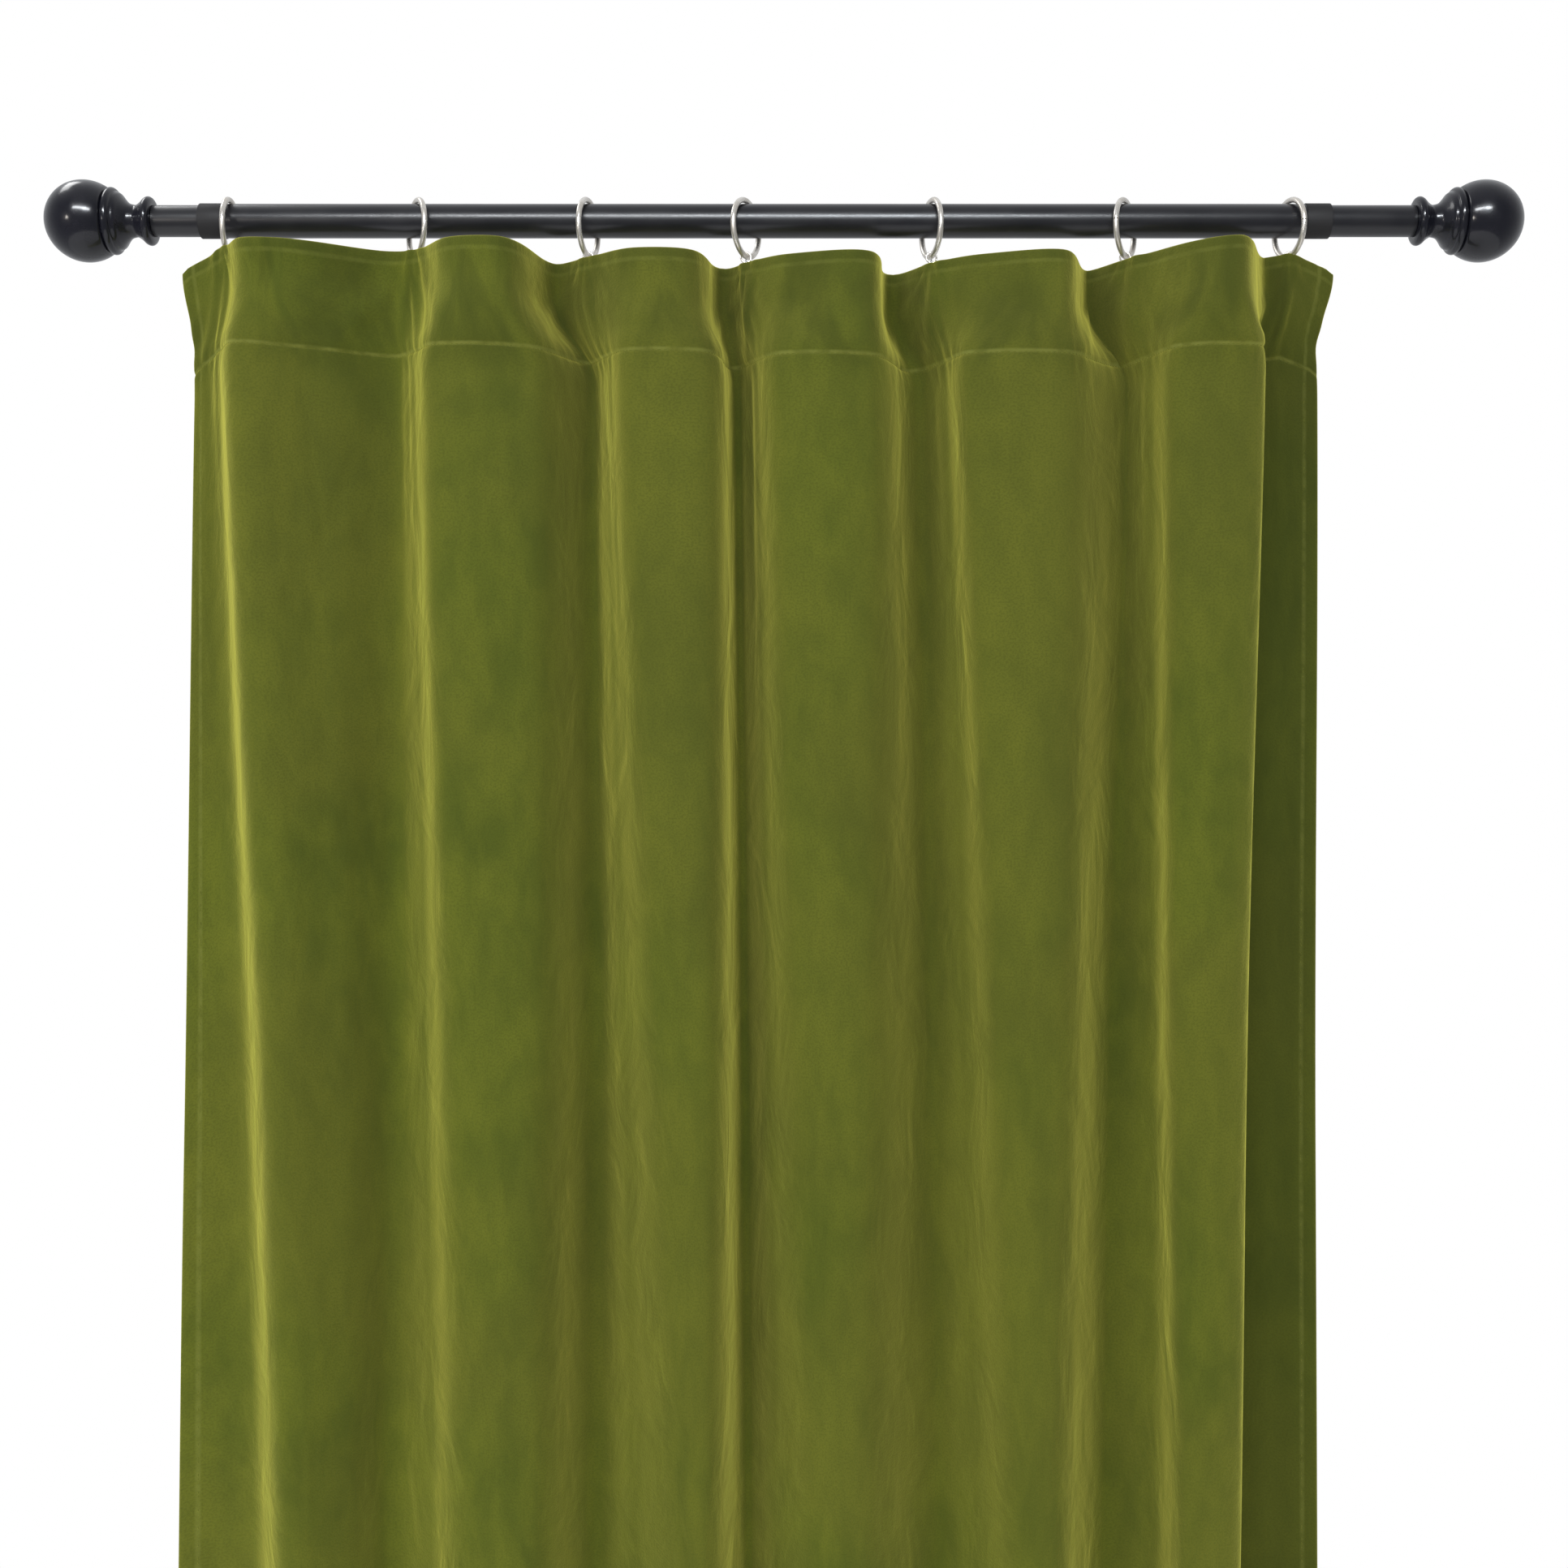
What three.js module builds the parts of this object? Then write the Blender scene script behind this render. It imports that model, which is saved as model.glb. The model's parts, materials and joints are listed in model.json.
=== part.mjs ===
// A velvet curtain hung by pin hooks from wire rings on a telescoping rod with ball finials.
// Millimetres. +X runs along the rod, -Y faces the room, +Z is up. The origin is on the rod's axis,
// midway between the two finials' seats.
import * as THREE from "three";

// ---- Driving dimensions ----

const gap = 0.3; // between pieces that touch in the real object

// Curtain: the cloth as it hangs, from corner to corner.
const hungWidth = 879;
const drop = 2134;
const clothThickness = 1.6;
const liningThickness = 1.2; // each turned-over layer on the back
const headingDepth = 76; // the stiff band above the heading's stitch line
const bottomHemDepth = 102;
const sideHemWidth = 13;
const headingUnderRing = 3.9; // top edge of the cloth under the rings' lowest point
const relaxDrop = 500; // length over which the cloth swings in under its hooks

// Rod: one centre tube, and an end tube that slides out of each end of it.
const rodDiameter = 25.4;
const tubeWall = 0.7;
const tubeFit = 0.25; // radial, between the tubes
const tubeOverlap = 300; // length of end tube inside the centre tube
const leftBare = 36; // end tube showing between sleeve and finial
const rightBare = 65;
const leftOverhang = 14; // cloth beyond the left sleeve's face
const rightOverhang = 4;

// Sleeve: a plastic cap over each raw end of the centre tube.
const sleeveLength = 19;
const sleeveWall = 0.35;
const sleeveFit = 0.05;
const sleeveLip = 1.3;

// Finial: one turned piece on a threaded stud.
const ballRadius = 30.5;
const ballFromSeat = 52;
const beadRadius = 25;
const beadFromSeat = 31;
const beadRound = 3.2;
const neckRadius = 12.1;
const neckFromSeat = 14;
const collarRadius = 18.2;
const collarLength = 8;
const studDiameter = 8;
const studInFinial = 22;
const studInPlug = 14;
const plugLength = 18;

// Rings, eyelets and hooks.
const ringBoreRatio = 1.5; // ring bore over rod diameter
const ringWire = 4.3;
const ringOverSleeve = 0.2;
const eyeletWire = 1.4;
const hookWire = 1.2;
const hookLength = 37;
const hookBend = 1.2; // radius of the turn between shank and pin
const pinLength = 22;
const hookPlay = 0.5; // between the hook's crook and the eyelet
const leftHookInset = 36; // from the curtain's corner to its first hook
const rightHookInset = 34;

// Where each ring hangs, as a share of the way from the first ring to the last, and how far it is turned
// about the vertical. The fold to its right has its crest at foldShare of the way to the next ring.
const stations = [
  { share: 0, yaw: 0, foldShare: 0.33, foldDepth: 72 },
  { share: 0.176, yaw: 27, foldShare: 0.45, foldDepth: 74 },
  { share: 0.338, yaw: -14, foldShare: 0.52, foldDepth: 70 },
  { share: 0.487, yaw: -26, foldShare: 0.54, foldDepth: 70 },
  { share: 0.662, yaw: 15.5, foldShare: 0.55, foldDepth: 74 },
  { share: 0.845, yaw: -29, foldShare: 0.5, foldDepth: 74 },
  { share: 1, yaw: 16 },
];
const cornerDepth = 1; // both free corners hang just in front of the axis
const pinnedWidth = 12; // cloth held flat by each pin

// Facets.
const tubeSides = 24;
const finialSides = 20;
const curvePoints = 4;
const columnsPerSpan = 4; // between two points of the heading line

// ---- Sizes that follow ----

const rodRadius = rodDiameter / 2;
const tubeBore = rodRadius - tubeWall;
const endTubeRadius = tubeBore - tubeFit;
const endTubeBore = endTubeRadius - tubeWall;
const sleeveRadius = rodRadius + sleeveFit + sleeveWall;

const sleeveSpan = hungWidth - leftOverhang - rightOverhang; // face to face
const seat = (sleeveSpan + leftBare + rightBare) / 2; // each finial's seat, from the origin
const leftSleeveX = -seat + leftBare;
const rightSleeveX = seat - rightBare;
const curtainLeft = leftSleeveX - leftOverhang;

const ringBore = ringBoreRatio * rodDiameter;
const ringRadius = (ringBore + ringWire) / 2;
const ringZ = sleeveRadius + ringOverSleeve - ringBore / 2;
const ringBottomZ = ringZ - ringBore / 2 - ringWire;
const eyeletBore = ringWire + hookWire + hookPlay + 2 * gap; // ring and hook one over the other
const eyeletRadius = (eyeletBore + eyeletWire) / 2;
const eyeletZ = ringZ - ringBore / 2 + gap - eyeletBore / 2;
const hingeZ = eyeletZ - eyeletRadius; // the hooks turn about the eyelets' lowest wire

const crookRadius = hookPlay + (eyeletWire + hookWire) / 2;
const pinY = -crookRadius - 2 * hookBend;
const liningY = pinY - hookWire / 2 - gap - liningThickness / 2;
const clothY = liningY - (liningThickness + clothThickness) / 2 - gap;
const liningSetBack = liningY - clothY;
const topZ = ringBottomZ - headingUnderRing;
const bottomZ = topZ - drop;

// ---- Finishes ----

const finish = (name, color, roughness, metalness) =>
  new THREE.MeshStandardMaterial({ name, color, roughness, metalness });
const blackTube = finish("black_tube", 0x1c1c20, 0.35, 0.6);
const blackPlastic = finish("black_plastic", 0x18171a, 0.65, 0);
const blackLacquer = finish("black_lacquer", 0x0d0d11, 0.15, 0);
const nickel = finish("satin_nickel", 0xb5aea4, 0.3, 1);
const steel = finish("bright_steel", 0xa9abad, 0.3, 1);
const velvet = finish("olive_velvet", 0x4c5518, 0.9, 0);

// ---- Shapes ----

// A turned piece: profile holds [radius, distance along the axis] pairs that go round it anticlockwise.
function turned(profile, sides = tubeSides) {
  return new THREE.LatheGeometry(
    profile.map(([radius, along]) => new THREE.Vector2(radius, along)),
    sides,
  );
}

// A straight pipe or collar, closed on itself.
function pipe(bore, radius, from, to) {
  return turned([
    [bore, from],
    [radius, from],
    [radius, to],
    [bore, to],
    [bore, from],
  ]);
}

// The cap that hides a tube's raw end: a thin skirt outside the tube, with a lip across its wall.
function sleeveShape() {
  return turned([
    [tubeBore, 0],
    [sleeveRadius, 0],
    [sleeveRadius, sleeveLength],
    [sleeveRadius - sleeveWall, sleeveLength],
    [sleeveRadius - sleeveWall, sleeveLip],
    [tubeBore, sleeveLip],
    [tubeBore, 0],
  ]);
}

// The finial's outline from its seat outwards: collar, hollow neck, flare, bead and ball.
function finialShape() {
  const bore = studDiameter / 2 + gap;
  const grooveRadius = beadRadius - 1.9;
  const grooveEnd = beadFromSeat + beadRound + 0.6;
  const ballStart = -Math.asin((ballFromSeat - grooveEnd) / ballRadius);
  const outline = new THREE.Path();
  outline.moveTo(0, studInFinial + gap);
  outline.lineTo(bore, studInFinial + gap);
  outline.lineTo(bore, 0);
  outline.lineTo(collarRadius - 4, 0);
  outline.quadraticCurveTo(collarRadius, 0.4, collarRadius, collarLength * 0.55);
  outline.quadraticCurveTo(collarRadius, collarLength * 0.9, collarRadius - 2.6, collarLength);
  outline.quadraticCurveTo(neckRadius - 0.6, collarLength + 1, neckRadius, neckFromSeat);
  outline.bezierCurveTo(
    neckRadius + 1,
    neckFromSeat + 7,
    beadRadius - 7,
    beadFromSeat - 7,
    beadRadius - beadRound,
    beadFromSeat - beadRound,
  );
  outline.absarc(beadRadius - beadRound, beadFromSeat, beadRound, -Math.PI / 2, Math.PI / 3);
  outline.lineTo(grooveRadius, grooveEnd - 0.4);
  outline.absarc(0, ballFromSeat, ballRadius, ballStart, Math.PI / 2);
  const points = outline.getPoints(curvePoints).map(({ x, y }) => [x, y]);
  points[points.length - 1][0] = 0;
  return turned(points, finialSides);
}

// A stud with chamfered ends, from -studInPlug inside the plug to studInFinial.
function studShape() {
  const radius = studDiameter / 2;
  const chamfer = 1;
  return turned(
    [
      [0, -studInPlug],
      [radius - chamfer, -studInPlug],
      [radius, chamfer - studInPlug],
      [radius, studInFinial - chamfer],
      [radius - chamfer, studInFinial],
      [0, studInFinial],
    ],
    finialSides,
  );
}

// A pin hook in the YZ plane: crook over the eyelet, shank down behind the cloth, pin back up.
function hookShape() {
  const bendZ = hookBend - hookLength;
  const route = [[crookRadius + 0.9, -5.5]];
  for (const turn of [0, 45, 90, 135, 180]) {
    const angle = THREE.MathUtils.degToRad(turn);
    route.push([crookRadius * Math.cos(angle), crookRadius * Math.sin(angle)]);
  }
  route.push([-crookRadius, bendZ / 2]);
  for (const turn of [0, 60, 120, 180]) {
    const angle = THREE.MathUtils.degToRad(turn);
    route.push([-crookRadius - hookBend * (1 - Math.cos(angle)), bendZ - hookBend * Math.sin(angle)]);
  }
  route.push([pinY, bendZ + pinLength / 2], [pinY, bendZ + pinLength]);
  const wire = new THREE.Shape().absarc(0, 0, hookWire / 2, 0, 2 * Math.PI);
  return new THREE.ExtrudeGeometry(wire, {
    extrudePath: new THREE.CatmullRomCurve3(
      route.map(([y, z]) => new THREE.Vector3(0, y, z)),
    ),
    steps: 34,
    curveSegments: 3,
  });
}

// The heading seen from above: flat behind each hook, out to a crest between two hooks.
const firstHookX = curtainLeft + leftHookInset;
const lastHookX = curtainLeft + hungWidth - rightHookInset;
const hookX = stations.map(({ share }) => THREE.MathUtils.lerp(firstHookX, lastHookX, share));
const headingPoints = [new THREE.Vector3(curtainLeft, -cornerDepth, 0)];
stations.forEach(({ foldShare, foldDepth }, i) => {
  for (const side of [-0.5, 0.5])
    headingPoints.push(new THREE.Vector3(hookX[i] + side * pinnedWidth, clothY, 0));
  if (i + 1 < stations.length) {
    const crestX = THREE.MathUtils.lerp(hookX[i], hookX[i + 1], foldShare);
    headingPoints.push(new THREE.Vector3(crestX, -foldDepth, 0));
  }
});
headingPoints.push(new THREE.Vector3(curtainLeft + hungWidth, -cornerDepth, 0));
const clothSpans = headingPoints.length - 1;
const clothColumns = columnsPerSpan * clothSpans;

// Half a cosine wave between each two points, so the cloth lies along the rod at every one of them.
class HeadingLine extends THREE.Curve {
  getPoint(t, target = new THREE.Vector3()) {
    const span = Math.min(Math.floor(t * clothSpans), clothSpans - 1);
    const share = t * clothSpans - span;
    const [start, end] = [headingPoints[span], headingPoints[span + 1]];
    target.x = THREE.MathUtils.lerp(start.x, end.x, share);
    target.y = THREE.MathUtils.lerp(start.y, end.y, (1 - Math.cos(Math.PI * share)) / 2);
    return target;
  }
}
const heading = new HeadingLine();
heading.arcLengthDivisions = 2000;

// Below the heading the cloth swings back until its weight hangs under the hooks.
const samples = heading.getSpacedPoints(400);
const meanDepth = samples.reduce((sum, point) => sum + point.y, 0) / samples.length;
const swungShare = 1 - (headingDepth + relaxDrop / 2) / drop;
const swing = -meanDepth / swungShare;
const swingAt = (height) =>
  swing * THREE.MathUtils.smoothstep(topZ - headingDepth - height, 0, relaxDrop);

// One layer of cloth: a thin box bent along the heading line. from and to are the curve's own parameter,
// so that whole columns end on its points; heights lists the rows from the top down, and setBack moves
// the layer behind the face cloth.
function clothLayer({ from = 0, to = 1, heights, thickness, setBack = 0, columns = clothColumns }) {
  const rows = heights.length - 1;
  const layer = new THREE.BoxGeometry(to - from, thickness, 1, columns, 1, rows);
  const place = layer.getAttribute("position");
  for (let i = 0; i < place.count; i++) {
    const share = THREE.MathUtils.clamp((from + to) / 2 + place.getX(i), 0, 1);
    const height = heights[Math.round((0.5 - place.getZ(i)) * rows)];
    const point = heading.getPoint(share);
    const along = heading.getTangent(share);
    const back = setBack + place.getY(i);
    place.setXYZ(
      i,
      point.x - along.y * back,
      point.y + along.x * back + swingAt(height),
      height,
    );
  }
  return layer;
}

// ---- Assembly ----

const curtainAndRod = new THREE.Group();

function add(name, geometry, material, parent = curtainAndRod) {
  const mesh = new THREE.Mesh(geometry, material);
  mesh.name = name;
  parent.add(mesh);
  return mesh;
}

const centreTube = add(
  "centre_tube",
  pipe(tubeBore, rodRadius, leftSleeveX + sleeveLip + gap, rightSleeveX - sleeveLip - gap),
  blackTube,
);
centreTube.rotation.z = -Math.PI / 2;

// Each end is built with +Y outwards, then laid along the rod.
const ends = [
  { side: "left", turn: Math.PI / 2, bare: leftBare },
  { side: "right", turn: -Math.PI / 2, bare: rightBare },
];
for (const { side, turn, bare } of ends) {
  const end = new THREE.Group();
  end.rotation.z = turn;
  curtainAndRod.add(end);
  const sleeve = add(`${side}_sleeve`, sleeveShape(), blackPlastic, end);
  sleeve.position.y = seat - bare;
  sleeve.rotation.x = Math.PI;
  const tubeEnd = seat - gap;
  const tubeStart = seat - bare - tubeOverlap;
  add(`${side}_end_tube`, pipe(endTubeBore, endTubeRadius, tubeStart, tubeEnd), blackTube, end);
  add(
    `${side}_tube_plug`,
    pipe(studDiameter / 2 + gap, endTubeBore - tubeFit, tubeEnd - plugLength, tubeEnd),
    blackPlastic,
    end,
  );
  add(`${side}_finial_stud`, studShape(), steel, end).position.y = seat;
  add(`${side}_finial`, finialShape(), blackLacquer, end).position.y = seat;
}

stations.forEach(({ yaw }, i) => {
  const number = i + 1;
  const station = new THREE.Group();
  station.position.x = hookX[i];
  curtainAndRod.add(station);
  const ring = add(
    `ring_${number}`,
    new THREE.TorusGeometry(ringRadius, ringWire / 2, 6, tubeSides).rotateY(Math.PI / 2),
    nickel,
    station,
  );
  ring.position.z = ringZ;
  ring.rotation.z = THREE.MathUtils.degToRad(yaw);
  const eyelet = add(
    `eyelet_${number}`,
    new THREE.TorusGeometry(eyeletRadius, eyeletWire / 2, 6, 14).rotateX(Math.PI / 2),
    nickel,
    station,
  );
  eyelet.position.z = eyeletZ;
  add(`hook_${number}`, hookShape(), steel, station).position.z = hingeZ;
});

const stitchZ = topZ - headingDepth;
const relaxRows = [stitchZ, stitchZ - relaxDrop / 3, stitchZ - (2 * relaxDrop) / 3, stitchZ - relaxDrop];
const panelHeights = [topZ, ...relaxRows, bottomZ];
add("curtain_panel", clothLayer({ heights: panelHeights, thickness: clothThickness }), velvet);

const backLayer = { thickness: liningThickness, setBack: liningSetBack };
const hemTop = bottomZ + bottomHemDepth;
add("heading_band", clothLayer({ ...backLayer, heights: [topZ, stitchZ] }), velvet);
add("bottom_hem", clothLayer({ ...backLayer, heights: [hemTop, bottomZ] }), velvet);

const hemShare = sideHemWidth / heading.getLength();
const sideHem = {
  ...backLayer,
  heights: [stitchZ - gap, ...relaxRows.slice(1), hemTop + gap],
  columns: 2,
};
const hemEnds = [heading.getUtoTmapping(hemShare), heading.getUtoTmapping(1 - hemShare)];
add("left_side_hem", clothLayer({ ...sideHem, to: hemEnds[0] }), velvet);
add("right_side_hem", clothLayer({ ...sideHem, from: hemEnds[1] }), velvet);

export default curtainAndRod;
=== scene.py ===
"""A velvet curtain panel pinned to wire rings on a black telescoping rod with ball finials.

Metres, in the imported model's frame: +X runs along the rod, -Y faces the room and +Z is up.
"""

import json
import logging
import math
from dataclasses import dataclass, field
from enum import Enum
from typing import NamedTuple, Sequence

import bpy
import numpy as np
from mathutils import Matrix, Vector


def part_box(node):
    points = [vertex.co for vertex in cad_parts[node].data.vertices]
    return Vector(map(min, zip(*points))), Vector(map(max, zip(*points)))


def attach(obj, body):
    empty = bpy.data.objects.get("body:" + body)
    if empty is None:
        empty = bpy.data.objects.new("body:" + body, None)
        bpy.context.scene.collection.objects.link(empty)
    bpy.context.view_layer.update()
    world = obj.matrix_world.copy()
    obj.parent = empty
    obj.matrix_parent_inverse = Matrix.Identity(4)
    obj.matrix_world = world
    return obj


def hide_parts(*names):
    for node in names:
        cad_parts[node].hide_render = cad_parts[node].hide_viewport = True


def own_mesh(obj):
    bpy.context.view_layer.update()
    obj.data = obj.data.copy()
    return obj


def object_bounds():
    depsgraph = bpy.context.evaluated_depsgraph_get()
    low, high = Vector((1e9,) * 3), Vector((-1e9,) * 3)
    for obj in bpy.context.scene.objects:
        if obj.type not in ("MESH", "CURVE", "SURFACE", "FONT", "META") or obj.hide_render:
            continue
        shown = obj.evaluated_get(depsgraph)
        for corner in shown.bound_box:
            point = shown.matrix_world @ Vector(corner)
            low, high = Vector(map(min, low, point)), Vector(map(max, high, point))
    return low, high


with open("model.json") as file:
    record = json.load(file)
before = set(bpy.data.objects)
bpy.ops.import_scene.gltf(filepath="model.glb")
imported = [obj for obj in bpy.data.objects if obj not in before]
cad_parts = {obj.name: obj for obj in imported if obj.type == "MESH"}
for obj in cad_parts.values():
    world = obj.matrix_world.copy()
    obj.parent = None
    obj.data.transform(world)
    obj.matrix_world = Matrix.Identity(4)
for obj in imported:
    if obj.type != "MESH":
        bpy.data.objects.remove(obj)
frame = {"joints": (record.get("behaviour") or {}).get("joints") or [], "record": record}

CAD_LOW, CAD_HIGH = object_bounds()
MM = 0.001
RING_COUNT = 7

log = logging.getLogger("curtain")


# ---------------------------------------------------------------- meshes


class Side(Enum):
    """The two ends of the rod; the value is the sign of X."""

    LEFT = -1
    RIGHT = 1

    @property
    def word(self) -> str:
        """The side as it stands in the names of pieces and bodies."""
        return self.name.lower()


def grid_quads(rows: int, columns: int, wrap_rows: bool, wrap_columns: bool) -> np.ndarray:
    """Quads between neighbouring vertices of a grid numbered row by row.

    Args:
        rows: vertices down the grid.
        columns: vertices across it.
        wrap_rows: whether the last row joins the first.
        wrap_columns: whether the last column joins the first.

    Returns:
        An array of vertex numbers, four to a quad.
    """
    row = np.arange(rows if wrap_rows else rows - 1)[:, None]
    column = np.arange(columns if wrap_columns else columns - 1)[None, :]
    here, below, beside = row * columns, (row + 1) % rows * columns, (column + 1) % columns
    corners = (here + column, here + beside, below + beside, below + column)
    return np.stack(np.broadcast_arrays(*corners), axis=-1).reshape(-1, 4)


def signed_volume(points: np.ndarray, faces: Sequence[Sequence[int]]) -> float:
    """Volume inside closed faces, negative where they point inwards: the sum of the tetrahedra
    between the first vertex and each triangle of a fan over every face."""
    quads = np.array([face if len(face) == 4 else (*face, face[-1]) for face in faces])
    corner = points[quads] - points[0]
    first = np.einsum("ij,ij->i", corner[:, 0], np.cross(corner[:, 1], corner[:, 2]))
    second = np.einsum("ij,ij->i", corner[:, 0], np.cross(corner[:, 2], corner[:, 3]))
    return float((first + second).sum() / 6)


def make_piece(
    name: str,
    points: np.ndarray,
    faces: Sequence[Sequence[int]],
    material: bpy.types.Material,
    uv: np.ndarray | None = None,
    sharp_over: float = 35.0,
) -> bpy.types.Object:
    """A smooth-shaded object at the origin from vertices and closed faces, turned to point outwards.

    Args:
        name: name of the object.
        points: vertex places, (n, 3).
        faces: vertex numbers of each face.
        material: its one material.
        uv: optional place of each vertex on the flat cloth, (n, 2).
        sharp_over: edges that turn by more degrees than this stay sharp.

    Returns:
        The new object, linked to the scene.
    """
    if signed_volume(points, faces) < 0:
        faces = [face[::-1] for face in faces]
    mesh = bpy.data.meshes.new(name)
    mesh.from_pydata(points.tolist(), [], faces)
    if uv is not None:
        layer = mesh.uv_layers.new(name="cloth")
        corners = np.empty(len(mesh.loops), dtype=np.int32)
        mesh.loops.foreach_get("vertex_index", corners)
        layer.data.foreach_set("uv", uv[corners].astype(np.float32).ravel())
    mesh.shade_smooth()
    mesh.set_sharp_from_angle(angle=math.radians(sharp_over))
    mesh.materials.append(material)
    piece = bpy.data.objects.new(name, mesh)
    bpy.context.scene.collection.objects.link(piece)
    return piece


def fanned_shut(
    rings: np.ndarray, first: np.ndarray, last: np.ndarray
) -> tuple[np.ndarray, list[list[int]]]:
    """Rings of vertices joined by quads, and shut by a fan of triangles to one vertex at each end.

    Args:
        rings: vertices ring by ring, (n, sides, 3).
        first: the vertex beyond the first ring.
        last: the vertex beyond the last ring.

    Returns:
        Vertices and faces of a closed mesh.
    """
    count, sides = rings.shape[:2]
    points = np.concatenate([rings.reshape(-1, 3), [first], [last]])
    faces = grid_quads(count, sides, False, True).tolist()
    around = np.arange(sides)
    beside, last_ring = (around + 1) % sides, (count - 1) * sides
    for pole, one, other in ((0, beside, around), (1, last_ring + around, last_ring + beside)):
        faces += np.stack([np.full(sides, count * sides + pole), one, other], axis=-1).tolist()
    return points, faces


def carried_circle(
    centres: np.ndarray,
    radii: np.ndarray,
    side: np.ndarray,
    up: np.ndarray,
    sides: int,
    closed: bool = False,
) -> tuple[np.ndarray, list[list[int]]]:
    """Circles carried along a path: centre + radius (side cos a + up sin a) for each angle a.

    An open path starts and ends in one vertex, so its radii there are not used.

    Args:
        centres: the path, (n, 3).
        radii: the circle's radius at each of its points.
        side: unit vectors across the path, (3,) or (n, 3).
        up: unit vectors across the path and side, (3,) or (n, 3).
        sides: vertices round each circle.
        closed: whether the last circle joins the first.

    Returns:
        Vertices and faces of a closed mesh.
    """
    angle = np.linspace(0, 2 * np.pi, sides, endpoint=False)[None, :, None]
    side, up = np.broadcast_to(side, centres.shape), np.broadcast_to(up, centres.shape)
    across = side[:, None] * np.cos(angle) + up[:, None] * np.sin(angle)
    rings = centres[:, None] + radii[:, None, None] * across
    if closed:
        quads = grid_quads(len(centres), sides, True, True)
        return rings.reshape(-1, 3), quads.tolist()
    return fanned_shut(rings[1:-1], centres[0], centres[-1])


def turned(profile: np.ndarray, closed: bool, sides: int = 96) -> tuple[np.ndarray, list[list[int]]]:
    """A shape turned about the X axis: its profile's (x, radius) pairs become circles about X.

    Args:
        profile: pairs of x and radius, (n, 2); an open one starts and ends on the axis.
        closed: whether the profile is a loop, as on a pipe.
        sides: vertices round each circle.

    Returns:
        Vertices and faces of a closed mesh.
    """
    centres = np.zeros((len(profile), 3))
    centres[:, 0] = profile[:, 0]
    return carried_circle(centres, profile[:, 1], np.array([0, 1, 0]), np.array([0, 0, 1]), sides, closed)


def flat_wire(
    path: np.ndarray, across: np.ndarray, radius: float, sides: int, closed: bool = False, dome: float = 1.0
) -> tuple[np.ndarray, list[list[int]]]:
    """A round wire along a path that stays in one plane, with domed ends where it is open.

    The dome is a quarter ellipse: going out by dome radius sin a, the wire thins to radius cos a.

    Args:
        path: the wire's centre line, (n, 3).
        across: unit vector at right angles to the path's plane.
        radius: the wire's.
        sides: vertices round it.
        closed: whether the path is a loop.
        dome: height of each end's dome, as a share of the radius.

    Returns:
        Vertices and faces of a closed mesh.
    """
    if closed:
        ahead = np.roll(path, -1, axis=0) - np.roll(path, 1, axis=0)
    else:
        ahead = np.gradient(path, axis=0)
    ahead /= np.linalg.norm(ahead, axis=1, keepdims=True)
    radii = np.full(len(path), radius)
    if not closed:
        turn = np.radians([30, 60, 80, 90])
        out, thin = dome * radius * np.sin(turn), radius * np.cos(turn)
        head = path[0] - out[::-1, None] * ahead[0]
        tail = path[-1] + out[:, None] * ahead[-1]
        path = np.concatenate([head, path, tail])
        ahead = np.concatenate([np.repeat(ahead[:1], 4, 0), ahead, np.repeat(ahead[-1:], 4, 0)])
        radii = np.concatenate([thin[::-1], radii, thin])
    side = np.cross(ahead, across)
    return carried_circle(path, radii, side, np.asarray(across, float), sides, closed)


def rounded(points: Sequence[Sequence[float]], radius: float, steps: int = 4) -> np.ndarray:
    """A closed outline with each corner replaced by a short curve.

    Each corner P between neighbours A and B becomes the quadratic curve from P moved by radius
    towards A, past P, to P moved by radius towards B.

    Args:
        points: corners in order, (n, 2).
        radius: how far from the corner each curve starts.
        steps: points on each curve.

    Returns:
        The outline's points, (n * steps, 2).
    """
    corner = np.array(points, float)
    before, after = np.roll(corner, 1, axis=0), np.roll(corner, -1, axis=0)

    def towards(other: np.ndarray) -> np.ndarray:
        """Each corner moved towards another point, at most 0.45 of the way."""
        step = other - corner
        length = np.linalg.norm(step, axis=1, keepdims=True)
        return corner + step / length * np.minimum(radius, 0.45 * length)

    start, end = towards(before)[:, None], towards(after)[:, None]
    share = np.linspace(0, 1, steps)[None, :, None]
    curve = (1 - share) ** 2 * start + 2 * share * (1 - share) * corner[:, None] + share**2 * end
    return curve.reshape(-1, 2)


def hermite(share: np.ndarray, start: np.ndarray, end: np.ndarray, leaving: np.ndarray,
            arriving: np.ndarray) -> np.ndarray:
    """The cubic Hermite curve between two places.

    Args:
        share: how far along, 0 to 1.
        start: where it starts.
        end: where it ends.
        leaving: its velocity at the start.
        arriving: its velocity at the end.

    Returns:
        The curve's places.
    """
    square, cube = share**2, share**3
    return ((2 * cube - 3 * square + 1) * start + (cube - 2 * square + share) * leaving
            + (3 * square - 2 * cube) * end + (cube - square) * arriving)


def smooth_through(points: np.ndarray, steps: int) -> np.ndarray:
    """A smooth open curve through points: cubic Hermite pieces, each point's direction being that from
    the point before it to the one after.

    Args:
        points: places to pass through, (n, 2).
        steps: points on each piece.

    Returns:
        The curve's points, ((n - 1) * steps + 1, 2).
    """
    ahead = np.gradient(points, axis=0)
    share = np.linspace(0, 1, steps, endpoint=False)[None, :, None]
    curve = hermite(share, points[:-1, None], points[1:, None], ahead[:-1, None], ahead[1:, None])
    return np.concatenate([curve.reshape(-1, 2), points[-1:]])


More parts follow.
